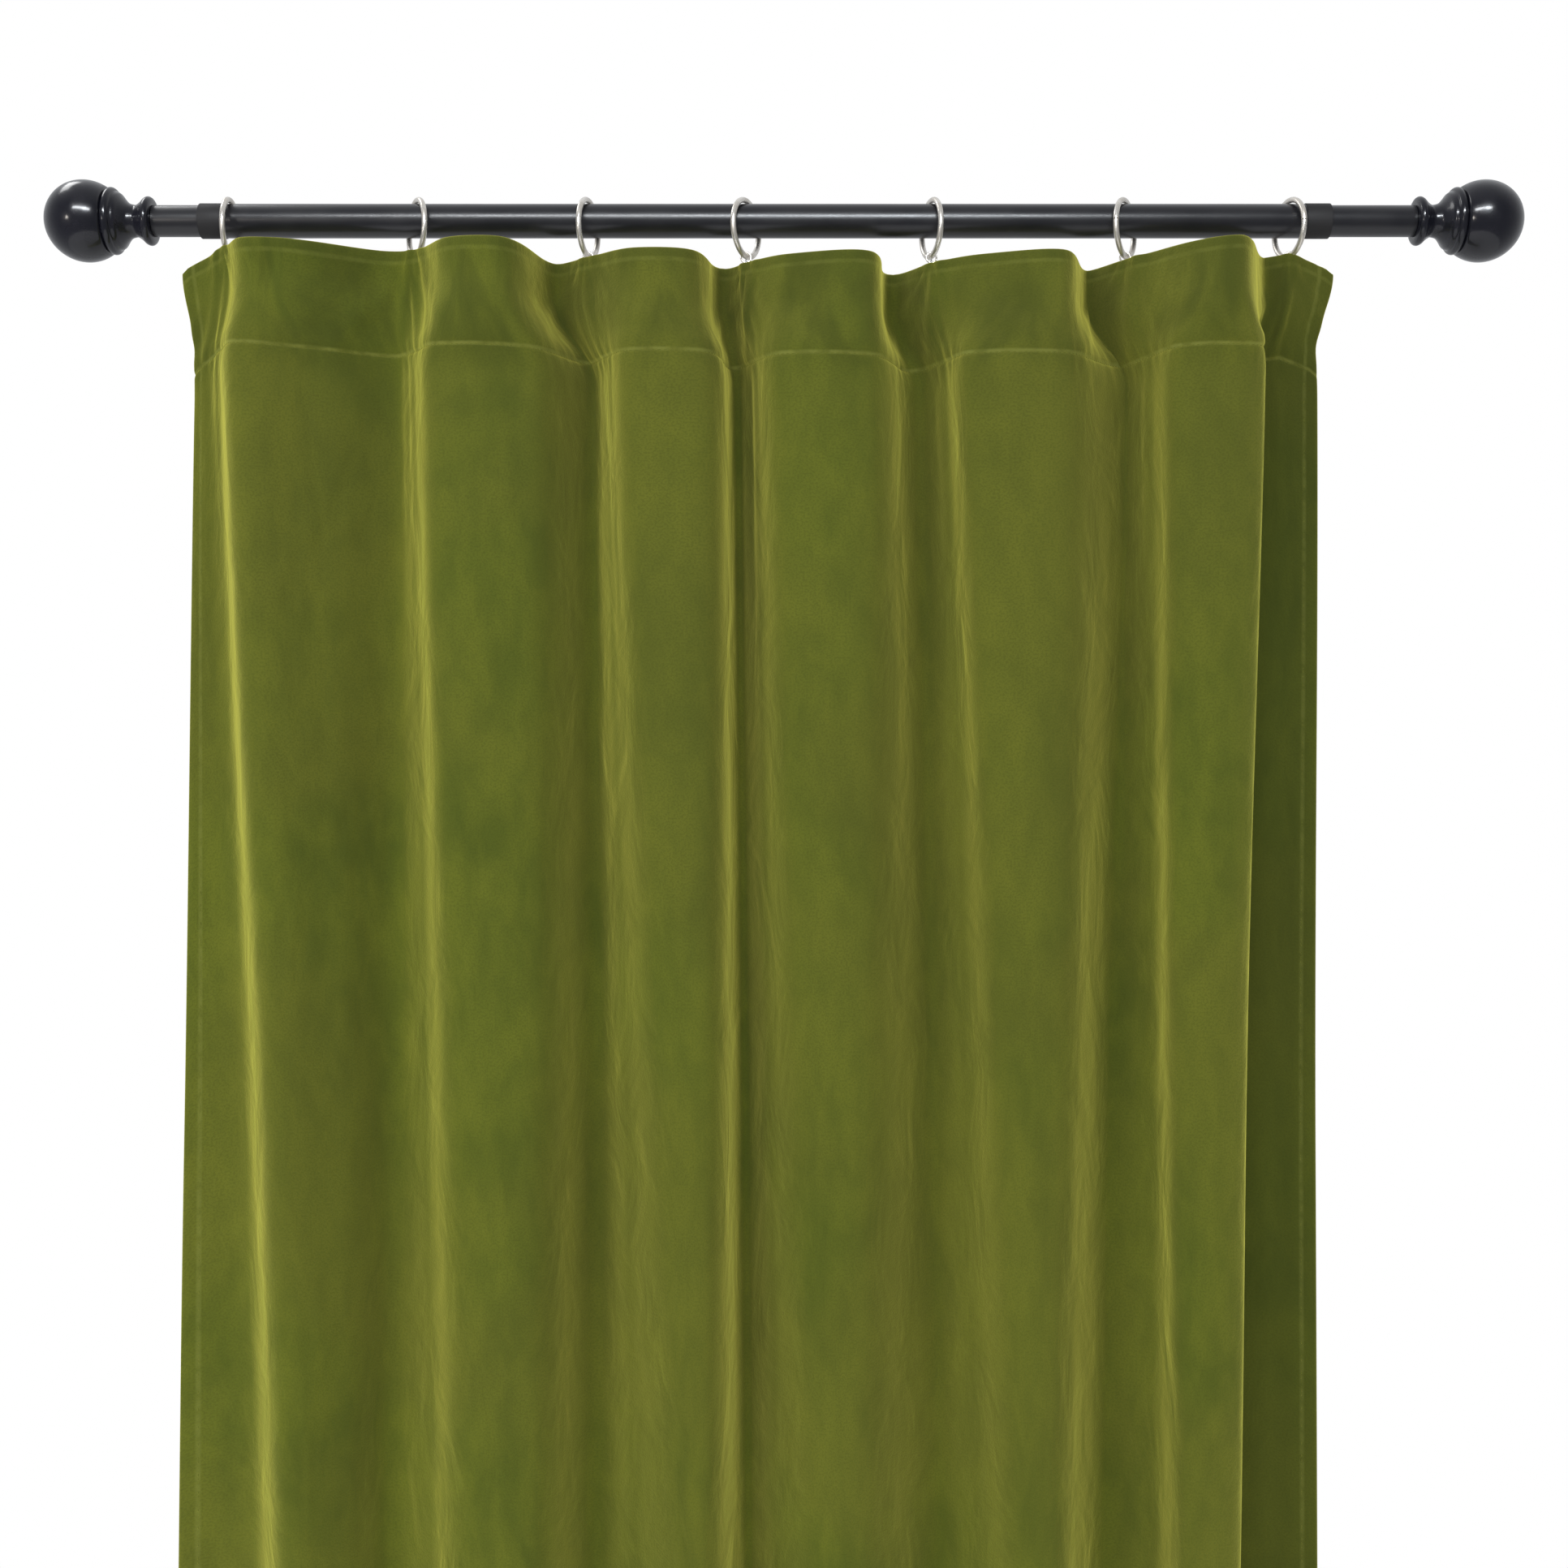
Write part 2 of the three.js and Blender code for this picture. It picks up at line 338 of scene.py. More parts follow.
def smoothstep(low: float, high: float, value: np.ndarray) -> np.ndarray:
    """0 below low and 1 above high, with 3 s^2 - 2 s^3 of the share s between them."""
    share = np.clip((value - low) / (high - low), 0, 1)
    return share * share * (3 - 2 * share)


def bell(distance: np.ndarray, width: float) -> np.ndarray:
    """A Gaussian hump, 1 in the middle and 1/e at width."""
    return np.exp(-((distance / width) ** 2))


# ---------------------------------------------------------------- finishes


class Nodes:
    """Short calls for building one node tree."""

    def __init__(self, tree: bpy.types.NodeTree) -> None:
        """Takes the tree and empties it."""
        self.tree = tree
        tree.nodes.clear()

    def add(self, kind: str, inputs: dict | None = None, **settings) -> bpy.types.Node:
        """A node with its settings made and its inputs set or linked.

        Args:
            kind: the node's type, such as ShaderNodeMix.
            inputs: socket name or number to a value, or to the output socket that feeds it.
            settings: attributes of the node.

        Returns:
            The new node.
        """
        node = self.tree.nodes.new(kind)
        for key, value in settings.items():
            setattr(node, key, value)
        for key, value in (inputs or {}).items():
            if isinstance(value, bpy.types.NodeSocket):
                self.tree.links.new(value, node.inputs[key])
            else:
                node.inputs[key].default_value = value
        return node

    def noise(self, coordinates: bpy.types.NodeSocket, scale: float, detail: float = 2.0,
              distortion: float = 0.0) -> bpy.types.NodeSocket:
        """A noise texture's factor at a scale per metre."""
        inputs = {"Vector": coordinates, "Scale": scale, "Detail": detail, "Distortion": distortion}
        return self.add("ShaderNodeTexNoise", inputs).outputs[0]

    def range(self, value: bpy.types.NodeSocket, low: float, high: float, to_low: float,
              to_high: float) -> bpy.types.NodeSocket:
        """A value moved from one range to another, smoothly and without passing its ends."""
        inputs = {"Value": value, "From Min": low, "From Max": high, "To Min": to_low, "To Max": to_high}
        node = self.add("ShaderNodeMapRange", inputs, interpolation_type="SMOOTHSTEP")
        return node.outputs["Result"]

    def mix_number(self, factor: float, first: bpy.types.NodeSocket,
                   second: bpy.types.NodeSocket) -> bpy.types.NodeSocket:
        """A mix of two numbers."""
        return self.add("ShaderNodeMix", {0: factor, 2: first, 3: second}).outputs[0]

    def reckon(self, operation: str, *values: bpy.types.NodeSocket | float) -> bpy.types.NodeSocket:
        """What a Math node's operation makes of its values."""
        return self.add("ShaderNodeMath", dict(enumerate(values)), operation=operation).outputs[0]

    def mix(self, factor: bpy.types.NodeSocket, first, second) -> bpy.types.NodeSocket:
        """A mix of two colours, each a colour or an output socket."""
        node = self.add("ShaderNodeMix", data_type="RGBA")
        pairs = (("Factor_Float", factor), ("A_Color", first), ("B_Color", second))
        for identifier, value in pairs:
            socket = next(s for s in node.inputs if s.identifier == identifier)
            if isinstance(value, bpy.types.NodeSocket):
                self.tree.links.new(value, socket)
            else:
                socket.default_value = value
        return next(s for s in node.outputs if s.identifier == "Result_Color")


def new_group(
    name: str, inputs: dict[str, float], outputs: Sequence[str]
) -> tuple[bpy.types.NodeTree, Nodes, bpy.types.Node, bpy.types.Node]:
    """A shader node group with a Vector input, number inputs and number outputs.

    Args:
        name: the group's.
        inputs: each number input's name and default.
        outputs: the outputs' names.

    Returns:
        The group, its node builder, and its input and output nodes.
    """
    group = bpy.data.node_groups.new(name, "ShaderNodeTree")
    group.interface.new_socket("Vector", in_out="INPUT", socket_type="NodeSocketVector")
    for socket, default in inputs.items():
        made = group.interface.new_socket(socket, in_out="INPUT", socket_type="NodeSocketFloat")
        made.default_value = default
    for socket in outputs:
        group.interface.new_socket(socket, in_out="OUTPUT", socket_type="NodeSocketFloat")
    nodes = Nodes(group)
    return group, nodes, nodes.add("NodeGroupInput"), nodes.add("NodeGroupOutput")


class Speckle:
    """Fine unevenness of a coated or moulded surface, shared by all the hard finishes."""

    NAME = "surface_speckle"

    @classmethod
    def group(cls) -> bpy.types.NodeTree:
        """The group, made once: fine and broad noise, each stretched to 0..1, and their mix."""
        if cls.NAME in bpy.data.node_groups:
            return bpy.data.node_groups[cls.NAME]
        group, nodes, entry, leave = new_group(cls.NAME, {"Fine": 900.0, "Broad": 25.0}, ["Fine", "Broad"])
        for socket, detail in (("Fine", 2.0), ("Broad", 4.0)):
            texture = nodes.add("ShaderNodeTexNoise", {"Vector": entry.outputs["Vector"],
                                                       "Scale": entry.outputs[socket], "Detail": detail})
            group.links.new(nodes.range(texture.outputs[0], 0.3, 0.7, 0.0, 1.0), leave.inputs[socket])
        return group


@dataclass(frozen=True)
class HardFinish:
    """A metal, coat or moulding: one shader with speckled roughness and relief.

    Fields are the record's slot, the base colour and its variant in worn or dusty patches, metalness,
    the roughness range, relief in metres with its grain per metre, and the clear coat on top.
    """

    slot: str
    colour: tuple[float, float, float]
    variant: tuple[float, float, float]
    metallic: float
    roughness: tuple[float, float]
    relief: float
    grain: float
    patches: float = 25.0
    coat: float = 0.0
    coat_roughness: float = 0.1
    specular: float = 0.5

    def material(self) -> bpy.types.Material:
        """Builds the material."""
        made = bpy.data.materials.new(self.slot)
        made.use_nodes = True
        nodes = Nodes(made.node_tree)
        place = nodes.add("ShaderNodeTexCoord").outputs["Object"]
        speckle = nodes.add("ShaderNodeGroup", node_tree=Speckle.group())
        made.node_tree.links.new(place, speckle.inputs["Vector"])
        speckle.inputs["Fine"].default_value = self.grain
        speckle.inputs["Broad"].default_value = self.patches
        colour = nodes.mix(speckle.outputs["Broad"], (*self.colour, 1), (*self.variant, 1))
        rough = nodes.range(speckle.outputs["Broad"], 0, 1, *self.roughness)
        bump = nodes.add("ShaderNodeBump", {"Height": speckle.outputs["Fine"], "Distance": self.relief,
                                            "Strength": 1.0})
        shader = nodes.add("ShaderNodeBsdfPrincipled", {
            "Base Color": colour, "Roughness": rough, "Metallic": self.metallic, "Normal": bump.outputs[0],
            "Specular IOR Level": self.specular, "Coat Weight": self.coat,
            "Coat Roughness": self.coat_roughness})
        nodes.add("ShaderNodeOutputMaterial", {"Surface": shader.outputs[0]})
        return made


@dataclass(frozen=True)
class Velvet:
    """Cotton velvet: short upright pile that is dark seen square on and pale where it is seen edge on."""

    slot: str = "olive_velvet"
    deep: tuple[float, float, float] = (0.058, 0.078, 0.006)
    light: tuple[float, float, float] = (0.104, 0.122, 0.010)
    dry: tuple[float, float, float] = (0.118, 0.112, 0.014)
    sheen: float = 1.0
    sheen_roughness: float = 0.48
    sheen_tint: tuple[float, float, float] = (0.86, 0.82, 0.15)
    # pale colour of the seam lines: painted highlight with flattened pile
    crushed: tuple[float, float, float] = (0.180, 0.195, 0.040)
    nap_patches: float = 14.0
    pile_grain: float = 700.0
    pile_relief: float = 0.00025
    lie_height: float = 0.0034
    heading_line: float = 0.0752
    top_line: float = 0.0078
    left_line: float = 0.0098
    right_line: float = 1.2342
    return_line: float = 1.178
    line_core: float = 0.0006
    line_reach: float = 0.0024
    tone_patches: float = 3.1
    handled_patches: float = 24.0
    wear_breaks: float = 90.0

    def material(self) -> bpy.types.Material:
        """Builds the material from the cloth's own flat coordinates, in metres."""
        made = bpy.data.materials.new(self.slot)
        made.use_nodes = True
        nodes = Nodes(made.node_tree)
        flat = nodes.add("ShaderNodeUVMap", uv_map="cloth").outputs["UV"]
        slanted = nodes.add("ShaderNodeMapping", {"Vector": flat, "Rotation": (0, 0, 0.5),
                                                  "Scale": (1.0, 0.45, 1.0)}).outputs[0]
        nap = nodes.range(nodes.noise(slanted, self.nap_patches, 5.0, 0.8), 0.34, 0.66, 0, 1)
        streaks = nodes.range(nodes.noise(slanted, self.nap_patches * 4.5, 4.0, 0.4), 0.3, 0.7, 0, 1)
        nap = nodes.mix_number(0.45, nap, streaks)
        tone = nodes.range(nodes.noise(flat, self.tone_patches, 2.0, 0.4), 0.35, 0.65, 0, 1)
        pile = nodes.noise(flat, self.pile_grain, 2.0)
        tuft = nodes.noise(flat, self.pile_grain * 0.22, 3.0)
        colour = nodes.mix(nap, (*self.deep, 1), (*self.light, 1))
        colour = nodes.mix(nodes.range(tone, 0, 1, 0.0, 0.3), colour, (*self.dry, 1))
        dark = tuple(channel * 0.62 for channel in self.deep)
        colour = nodes.mix(nodes.range(pile, 0.35, 0.6, 0.34, 0.0), colour, (*dark, 1))
        # painted shade on the right edge past the last hook, and darker noise patches in the heading
        colour = nodes.mix(self.handling(nodes, flat, slanted), colour, (*dark, 1))
        # painted highlight with flattened pile: pale lines along the heading's fold, stitches and side hems
        colour = nodes.mix(self.seam_wear(nodes, flat), colour, (*self.crushed, 1))
        height = nodes.reckon("ADD", pile, tuft)
        lie = nodes.noise(slanted, self.nap_patches * 1.9, 3.0, 0.6)
        height = nodes.reckon("MULTIPLY_ADD", lie, self.lie_height / self.pile_relief, height)
        bump = nodes.add("ShaderNodeBump", {"Height": height, "Distance": self.pile_relief, "Strength": 1.0})
        shader = nodes.add("ShaderNodeBsdfPrincipled", {
            "Base Color": colour, "Roughness": 0.95, "Specular IOR Level": 0.15, "Normal": bump.outputs[0],
            "Sheen Weight": self.sheen, "Sheen Roughness": self.sheen_roughness,
            "Sheen Tint": (*self.sheen_tint, 1)})
        nodes.add("ShaderNodeOutputMaterial", {"Surface": shader.outputs[0]})
        return made

    def handling(self, nodes: Nodes, flat: bpy.types.NodeSocket,
                 slanted: bpy.types.NodeSocket) -> bpy.types.NodeSocket:
        """Where the cloth is painted darker.

        In the heading it is darker in patches of noise that fade out below the stitches, and along the very
        top it is darker everywhere. On the panel's right edge past its last hook it is painted shade
        everywhere, for the strip that lies in shadow behind the last fold.
        """
        place = nodes.add("ShaderNodeSeparateXYZ", {0: flat}).outputs
        down = place["Y"]
        heading = nodes.range(down, -self.heading_line - 0.03, -self.heading_line + 0.005, 0.0, 1.0)
        patches = nodes.range(nodes.noise(slanted, self.handled_patches, 4.0, 0.6), 0.42, 0.66, 0.0, 0.62)
        rim = nodes.range(down, -self.top_line, -self.top_line + 0.002, 0.0, 0.4)
        heading_darkening = nodes.reckon("MULTIPLY", heading, nodes.reckon("MAXIMUM", patches, rim))
        # painted shade: the right edge past the last hook is darkened for the strip that lies in shadow
        # behind the last fold
        side = nodes.range(place["X"], self.return_line, self.return_line + 0.012, 0.0, 0.5)
        return nodes.reckon("MAXIMUM", heading_darkening, side)

    def seam_wear(self, nodes: Nodes, flat: bpy.types.NodeSocket) -> bpy.types.NodeSocket:
        """Where the cloth is painted pale along the heading's fold and stitches and the side hems' own: a
        painted highlight where each raised line catches the light, together with flattened pile.

        Each line's paleness is greatest on it and 0 from a little way off, and noise breaks it up. Where two
        meet, the greater counts.
        """
        axes = nodes.add("ShaderNodeSeparateXYZ", {0: flat}).outputs
        breaks = nodes.range(nodes.noise(flat, self.wear_breaks, 3.0), 0.3, 0.6, 0.35, 1.0)
        lines = ((axes["Y"], -self.heading_line, 0.7), (axes["Y"], -self.top_line, 0.22),
                 (axes["X"], self.left_line, 0.35), (axes["X"], self.right_line, 0.35))
        highlight_and_wear = None
        for axis, place, most in lines:
            off = nodes.reckon("ABSOLUTE", nodes.reckon("SUBTRACT", axis, place))
            here = nodes.range(off, self.line_core, self.line_reach, most, 0.0)
            highlight_and_wear = here if highlight_and_wear is None else nodes.reckon("MAXIMUM", highlight_and_wear, here)
        return nodes.reckon("MULTIPLY", highlight_and_wear, breaks)


TUBE_COAT = HardFinish("black_tube", (0.010, 0.0102, 0.0135), (0.013, 0.013, 0.016), 0.0, (0.30, 0.38),
                       0.000003, 1400.0, coat=0.4, coat_roughness=0.28, specular=0.25)
PLASTIC = HardFinish("black_plastic", (0.010, 0.0095, 0.0108), (0.014, 0.013, 0.014), 0.0, (0.55, 0.66),
                     0.00002, 1800.0, specular=0.3)
LACQUER = HardFinish("black_lacquer", (0.008, 0.0085, 0.013), (0.010, 0.010, 0.015), 0.0, (0.20, 0.28),
                     0.000004, 160.0, patches=60.0, coat=0.3, coat_roughness=0.10, specular=0.25)
NICKEL = HardFinish("satin_nickel", (0.74, 0.71, 0.66), (0.62, 0.58, 0.52), 0.8, (0.26, 0.36),
                    0.000003, 1500.0, patches=120.0)
ZINC = HardFinish("bright_steel", (0.66, 0.67, 0.68), (0.50, 0.51, 0.53), 0.8, (0.25, 0.40),
                  0.00001, 1800.0, patches=150.0)
FINISHES = (TUBE_COAT, PLASTIC, LACQUER, NICKEL, ZINC)


class Wardrobe:
    """Every material by its slot."""

    def __init__(self) -> None:
        """Builds each finish once."""
        self.materials = {finish.slot: finish.material() for finish in FINISHES}
        velvet = Velvet()
        self.materials[velvet.slot] = velvet.material()

    def __getitem__(self, slot: str) -> bpy.types.Material:
        """The material of a slot."""
        return self.materials[slot]

    def dress_nodes(self, *nodes: str) -> None:
        """Gives kept CAD nodes their better material.

        Args:
            nodes: names of the nodes.
        """
        slots = {part["node"]: part["material_slot"] for part in frame["record"]["subparts"]}
        for node in nodes:
            for socket in bpy.data.objects[node].material_slots:
                socket.material = self[slots[node]]


def settle(piece: bpy.types.Object, body: str, slot: str, *nodes: str) -> None:
    """Puts a finished piece on its body in place of its CAD nodes, and reports it."""
    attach(piece, body)
    if nodes:
        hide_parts(*nodes)
    log.info("%s rides on %s: %d faces", piece.name, body, len(piece.data.polygons))


# ---------------------------------------------------------------- rod


def box_of(node: str) -> tuple[np.ndarray, np.ndarray]:
    """The lowest and the highest corner of a CAD node's box."""
    low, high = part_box(node)
    return np.array(low), np.array(high)


@dataclass
class Rod:
    """The telescoping rod: centre tube, end sleeves, end tubes and threaded ball finials."""

    wardrobe: Wardrobe
    tube_wall: float = 0.7 * MM
    edge: float = 0.35 * MM
    sleeve_wall: float = 0.38 * MM
    stud_radius: float = 4 * MM
    stud_in_finial: float = 22 * MM
    stud_in_plug: float = 14 * MM
    pitch: float = 1.25 * MM
    thread_depth: float = 0.65 * MM
    stud_chamfer: float = 1.0 * MM
    clearance: float = 0.3 * MM
    sleeve_lip: float = 1.3 * MM
    mouth: float = 0.4 * MM
    groove_width: float = 0.7 * MM
    ball_radius: float = 30.5 * MM
    ball_from_seat: float = 52 * MM
    bead_radius: float = 25 * MM
    bead_from_seat: float = 31 * MM
    bead_round: float = 3.2 * MM
    turned_body: tuple[tuple[float, float], ...] = (
        (0.0, 14.5), (0.9, 17.0), (3.0, 18.2), (5.6, 17.4), (8.6, 14.6), (12.0, 12.3), (14.5, 12.1),
        (18.5, 13.4), (22.0, 17.0), (24.6, 20.4), (26.9, 21.7),
    )

    def pipe(self, node: str, body: str, slot: str) -> None:
        """A pipe in a CAD tube's place. Its profile is the wall's rectangle with eased corners.

        Args:
            node: the CAD tube, which also names the piece.
            body: what it rides on.
            slot: its finish.
        """
        low, high = box_of(node)
        radius = (high[2] - low[2]) / 2
        bore = radius - self.tube_wall
        corners = [(low[0], bore), (low[0], radius), (high[0], radius), (high[0], bore)]
        profile = rounded(corners, self.edge * 0.6)
        points, faces = turned(profile, closed=True)
        settle(make_piece(f"{node}_smooth", points, faces, self.wardrobe[slot]), body, slot, node)

    def sleeve(self, side: Side) -> None:
        """The plastic cap on one raw end: a thin skirt over the tube and a lip across its wall."""
        node = f"{side.word}_sleeve"
        low, high = box_of(node)
        radius = (high[2] - low[2]) / 2
        lip_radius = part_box(f"{side.word}_end_tube")[1][2] + self.clearance
        face, skirt = (low[0], high[0]) if side is Side.LEFT else (high[0], low[0])
        inward = -side.value
        bore, lip = radius - self.sleeve_wall, self.sleeve_lip
        corners = [(face, lip_radius), (face, radius), (skirt, radius), (skirt, bore),
                   (face + inward * lip, bore), (face + inward * lip, lip_radius)]
        points, faces = turned(rounded(corners, self.edge), closed=True)
        piece = make_piece(f"{node}_smooth", points, faces, self.wardrobe["black_plastic"])
        settle(piece, "rod", "black_plastic", node)

    def finial_profile(self, steps: int = 56) -> np.ndarray:
        """The finial's outline as distances from its seat and radii.

        It comes out of the bore and follows a smooth curve through the collar's rim, the hollow neck
        and the flare up to the bead's shoulder. The bead is a half circle, and after a narrow groove
        the ball is a circle's arc up to its tip.

        Args:
            steps: points on the ball's arc.

        Returns:
            Pairs of distance and radius, (n, 2).
        """
        bore, depth = self.stud_radius + self.clearance, self.stud_in_finial + self.clearance
        entry = [[depth, 0], [depth, bore * 0.6], [depth, bore], [self.mouth, bore], [0, bore + self.mouth]]
        body = smooth_through(np.array(self.turned_body) * MM, 6)
        bead_turn = np.linspace(-math.pi / 2.2, math.pi / 2.3, 17)
        bead = np.stack([self.bead_from_seat + self.bead_round * np.sin(bead_turn),
                         self.bead_radius - self.bead_round * (1 - np.cos(bead_turn))], axis=-1)
        groove = self.bead_from_seat + self.bead_round + self.groove_width
        ball_start = -math.asin((self.ball_from_seat - groove) / self.ball_radius)
        ball_turn = np.linspace(ball_start, math.pi / 2, steps)
        ball = np.stack([self.ball_from_seat + self.ball_radius * np.sin(ball_turn),
                         self.ball_radius * np.cos(ball_turn)], axis=-1)
        return np.concatenate([np.array(entry), body, bead, ball])

    @staticmethod
    def seat(side: Side) -> float:
        """Where along the rod a finial's inner face is."""
        low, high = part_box(f"{side.word}_finial")
        return low[0] if side is Side.RIGHT else high[0]

    def finial(self, side: Side) -> None:
        """One finial, turned about the rod's axis outside its seat."""
        profile = self.finial_profile()
        seat = self.seat(side)
        profile[:, 0] = seat + side.value * profile[:, 0]
        points, faces = turned(profile, closed=False, sides=128)
        node = f"{side.word}_finial"
        piece = make_piece(f"{node}_turned", points, faces, self.wardrobe["black_lacquer"], sharp_over=50)
        settle(piece, node, "black_lacquer", node)

    def stud(self, side: Side, sides: int = 24, rows_a_turn: int = 12) -> None:
        """One threaded stud: radius minus a triangle wave of distance / pitch less the share of a turn."""
        seat = self.seat(side)
        length = self.stud_in_finial + self.stud_in_plug
        rows = int(length / self.pitch * rows_a_turn)
        along = np.linspace(-self.stud_in_plug, self.stud_in_finial, rows)
        angle = np.linspace(0, 1, sides, endpoint=False)
        wave = np.abs(((along[:, None] / self.pitch - angle) % 1) * 2 - 1)
        to_end = np.minimum(along - along[0], along[-1] - along)
        chamfer = self.stud_radius - self.stud_chamfer + to_end[:, None]
        radius = np.minimum(self.stud_radius - self.thread_depth * wave, chamfer)
        turn, x = 2 * math.pi * angle, seat + side.value * along
        thread = np.broadcast_arrays(x[:, None], radius * np.cos(turn), radius * np.sin(turn))
        rings = np.stack(thread, axis=-1)
        points, faces = fanned_shut(rings, np.array([x[0], 0, 0]), np.array([x[-1], 0, 0]))
        piece = make_piece(f"{side.word}_stud_thread", points, faces, self.wardrobe["bright_steel"],
                           sharp_over=30)
        settle(piece, f"{side.word}_finial_screw", "bright_steel", f"{side.word}_finial_stud")

    def build(self) -> None:
        """Makes every piece of the rod."""
        self.pipe("centre_tube", "rod", "black_tube")
        for side in Side:
            self.pipe(f"{side.word}_end_tube", f"{side.word}_end", "black_tube")
            self.sleeve(side)
            self.finial(side)
            self.stud(side)
            self.wardrobe.dress_nodes(f"{side.word}_tube_plug")


# ---------------------------------------------------------------- rings and hooks


@dataclass
class Hangers:
    """The wire rings with their butt joints, the small eyelets under them, and the pin hooks."""

    wardrobe: Wardrobe
    ring_wire: float = 4.3 * MM
    butt_gap: float = 0.16 * MM
    butt_dome: float = 0.12
    eyelet_wire: float = 1.4 * MM
    hook_wire: float = 1.2 * MM
    hook_length: float = 37 * MM
    hook_bend: float = 1.2 * MM
    hook_play: float = 0.5 * MM
    pin_length: float = 22 * MM
    pin_dome: float = 1.6
    tip_heights: tuple[float, float] = (-5.5 * MM, -1.2 * MM)
    tip_flick: float = 0.9 * MM
    butt_height: tuple[float, ...] = (2.6, 2.4, 2.0, 2.3, 2.1, 0.1, 0.05)

    def yaw(self, number: int) -> float:
        """How far a ring is turned about the vertical: its swivel's range is centred on square."""
        joint = next(j for j in frame["joints"] if j["name"] == f"ring_{number}_swivel")
        return -math.radians(sum(joint["range_deg"]) / 2)

    def ring(self, number: int, steps: int = 144) -> None:
        """One ring: wire round a circle in a vertical plane, its two domed ends almost meeting.

        Args:
            number: which ring.
            steps: points along its wire.
        """
        node = f"ring_{number}"
        low, high = box_of(node)
        middle = (low + high) / 2
        radius = (high[2] - low[2] - self.ring_wire) / 2
        yaw = self.yaw(number)
        forward = np.array([math.sin(yaw), -math.cos(yaw), 0])
        across = np.array([math.cos(yaw), math.sin(yaw), 0])
        gap = (self.butt_gap / 2 + self.butt_dome * self.ring_wire / 2) / radius
        start = self.butt_height[number - 1]
        angle = np.linspace(start + gap, start + 2 * math.pi - gap, steps)[:, None]
        path = middle + radius * (np.cos(angle) * forward + np.sin(angle) * np.array([0, 0, 1]))
        points, faces = flat_wire(path, across, self.ring_wire / 2, 20, dome=self.butt_dome)
        piece = make_piece(f"{node}_wire", points, faces, self.wardrobe["satin_nickel"])
        settle(piece, node, "satin_nickel", node)

    def eyelet(self, number: int, steps: int = 48) -> None:
        """One eyelet: thin wire round a circle in the rod's own vertical plane."""
        node = f"eyelet_{number}"
        low, high = box_of(node)
        middle = (low + high) / 2
        radius = (high[2] - low[2] - self.eyelet_wire) / 2
        spread = 0 if high[0] - low[0] > high[1] - low[1] else 1
        flat_way = np.eye(3)[spread]
        angle = np.linspace(0, 2 * math.pi, steps, endpoint=False)[:, None]
        path = middle + radius * (np.cos(angle) * flat_way + np.sin(angle) * np.array([0, 0, 1]))
        points, faces = flat_wire(path, np.eye(3)[1 - spread], self.eyelet_wire / 2, 12, closed=True)
        piece = make_piece(f"{node}_wire", points, faces, self.wardrobe["satin_nickel"])
        settle(piece, node, "satin_nickel", node)

    def hook_route(self) -> np.ndarray:
        """The hook's centre line as (y, z) from its hinge.

        From its tip it goes up and over the eyelet in a half circle, down the shank behind the cloth,
        round a tight half circle and back up as the pin.
        """
        crook = self.hook_play + (self.eyelet_wire + self.hook_wire) / 2
        bend = self.hook_bend - self.hook_length
        half_turn = np.linspace(0, math.pi, 13)
        tip = np.linspace(*self.tip_heights, 6)
        shank = np.linspace(0, bend, 26)[1:-1]
        pin = np.linspace(bend, bend + self.pin_length, 18)[1:]
        flick = crook + self.tip_flick * (tip / tip[0]) ** 2
        parts = [
            np.stack([flick, tip], axis=-1),
            np.stack([crook * np.cos(half_turn), crook * np.sin(half_turn)], axis=-1),
            np.stack([np.full_like(shank, -crook), shank], axis=-1),
            np.stack([-crook - self.hook_bend * (1 - np.cos(half_turn)),
                      bend - self.hook_bend * np.sin(half_turn)], axis=-1),
            np.stack([np.full_like(pin, -crook - 2 * self.hook_bend), pin], axis=-1),
        ]
        return np.concatenate(parts)

    def hook(self, number: int) -> None:
        """One pin hook, hanging from its eyelet's lowest wire."""
        node = f"hook_{number}"
        low, high = box_of(node)
        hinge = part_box(f"eyelet_{number}")[0][2] + self.eyelet_wire / 2
        route = self.hook_route()
        middle = np.full(len(route), (low[0] + high[0]) / 2)
        path = np.stack([middle, route[:, 0], hinge + route[:, 1]], axis=-1)
        points, faces = flat_wire(path, np.array([1.0, 0, 0]), self.hook_wire / 2, 12, dome=self.pin_dome)
        piece = make_piece(f"{node}_wire", points, faces, self.wardrobe["bright_steel"])
        settle(piece, "curtain" if number == 1 else node, "bright_steel", node)

    def build(self) -> None:
        """Makes every ring, eyelet and hook."""
        for number in range(1, RING_COUNT + 1):
            self.ring(number)
            self.eyelet(number)
            self.hook(number)


# ---------------------------------------------------------------- curtain


class Bend(NamedTuple):
    """A point of the cloth seen from above.

    reach is its share of the way from the fold's hook to the next one, out is how far it stands towards
    the room, and drift is how far it moves along the rod for each metre further down.
    """

    reach: float
    out: float
    drift: float = 0.0


@dataclass(frozen=True)
class Fold:
    """One fold between two hooks, seen from above at the heading and below it.

    heading holds its ridge, brow and hollow at the top edge; body holds its flank, ridge, brow and hollow
    just under the heading. height and lean say how high the top edge stands at the fold's own hook, and
    how far it leans towards the room there.
    """

    heading: tuple[Bend, Bend, Bend]
    body: tuple[Bend, Bend, Bend, Bend]
    height: float
    lean: float


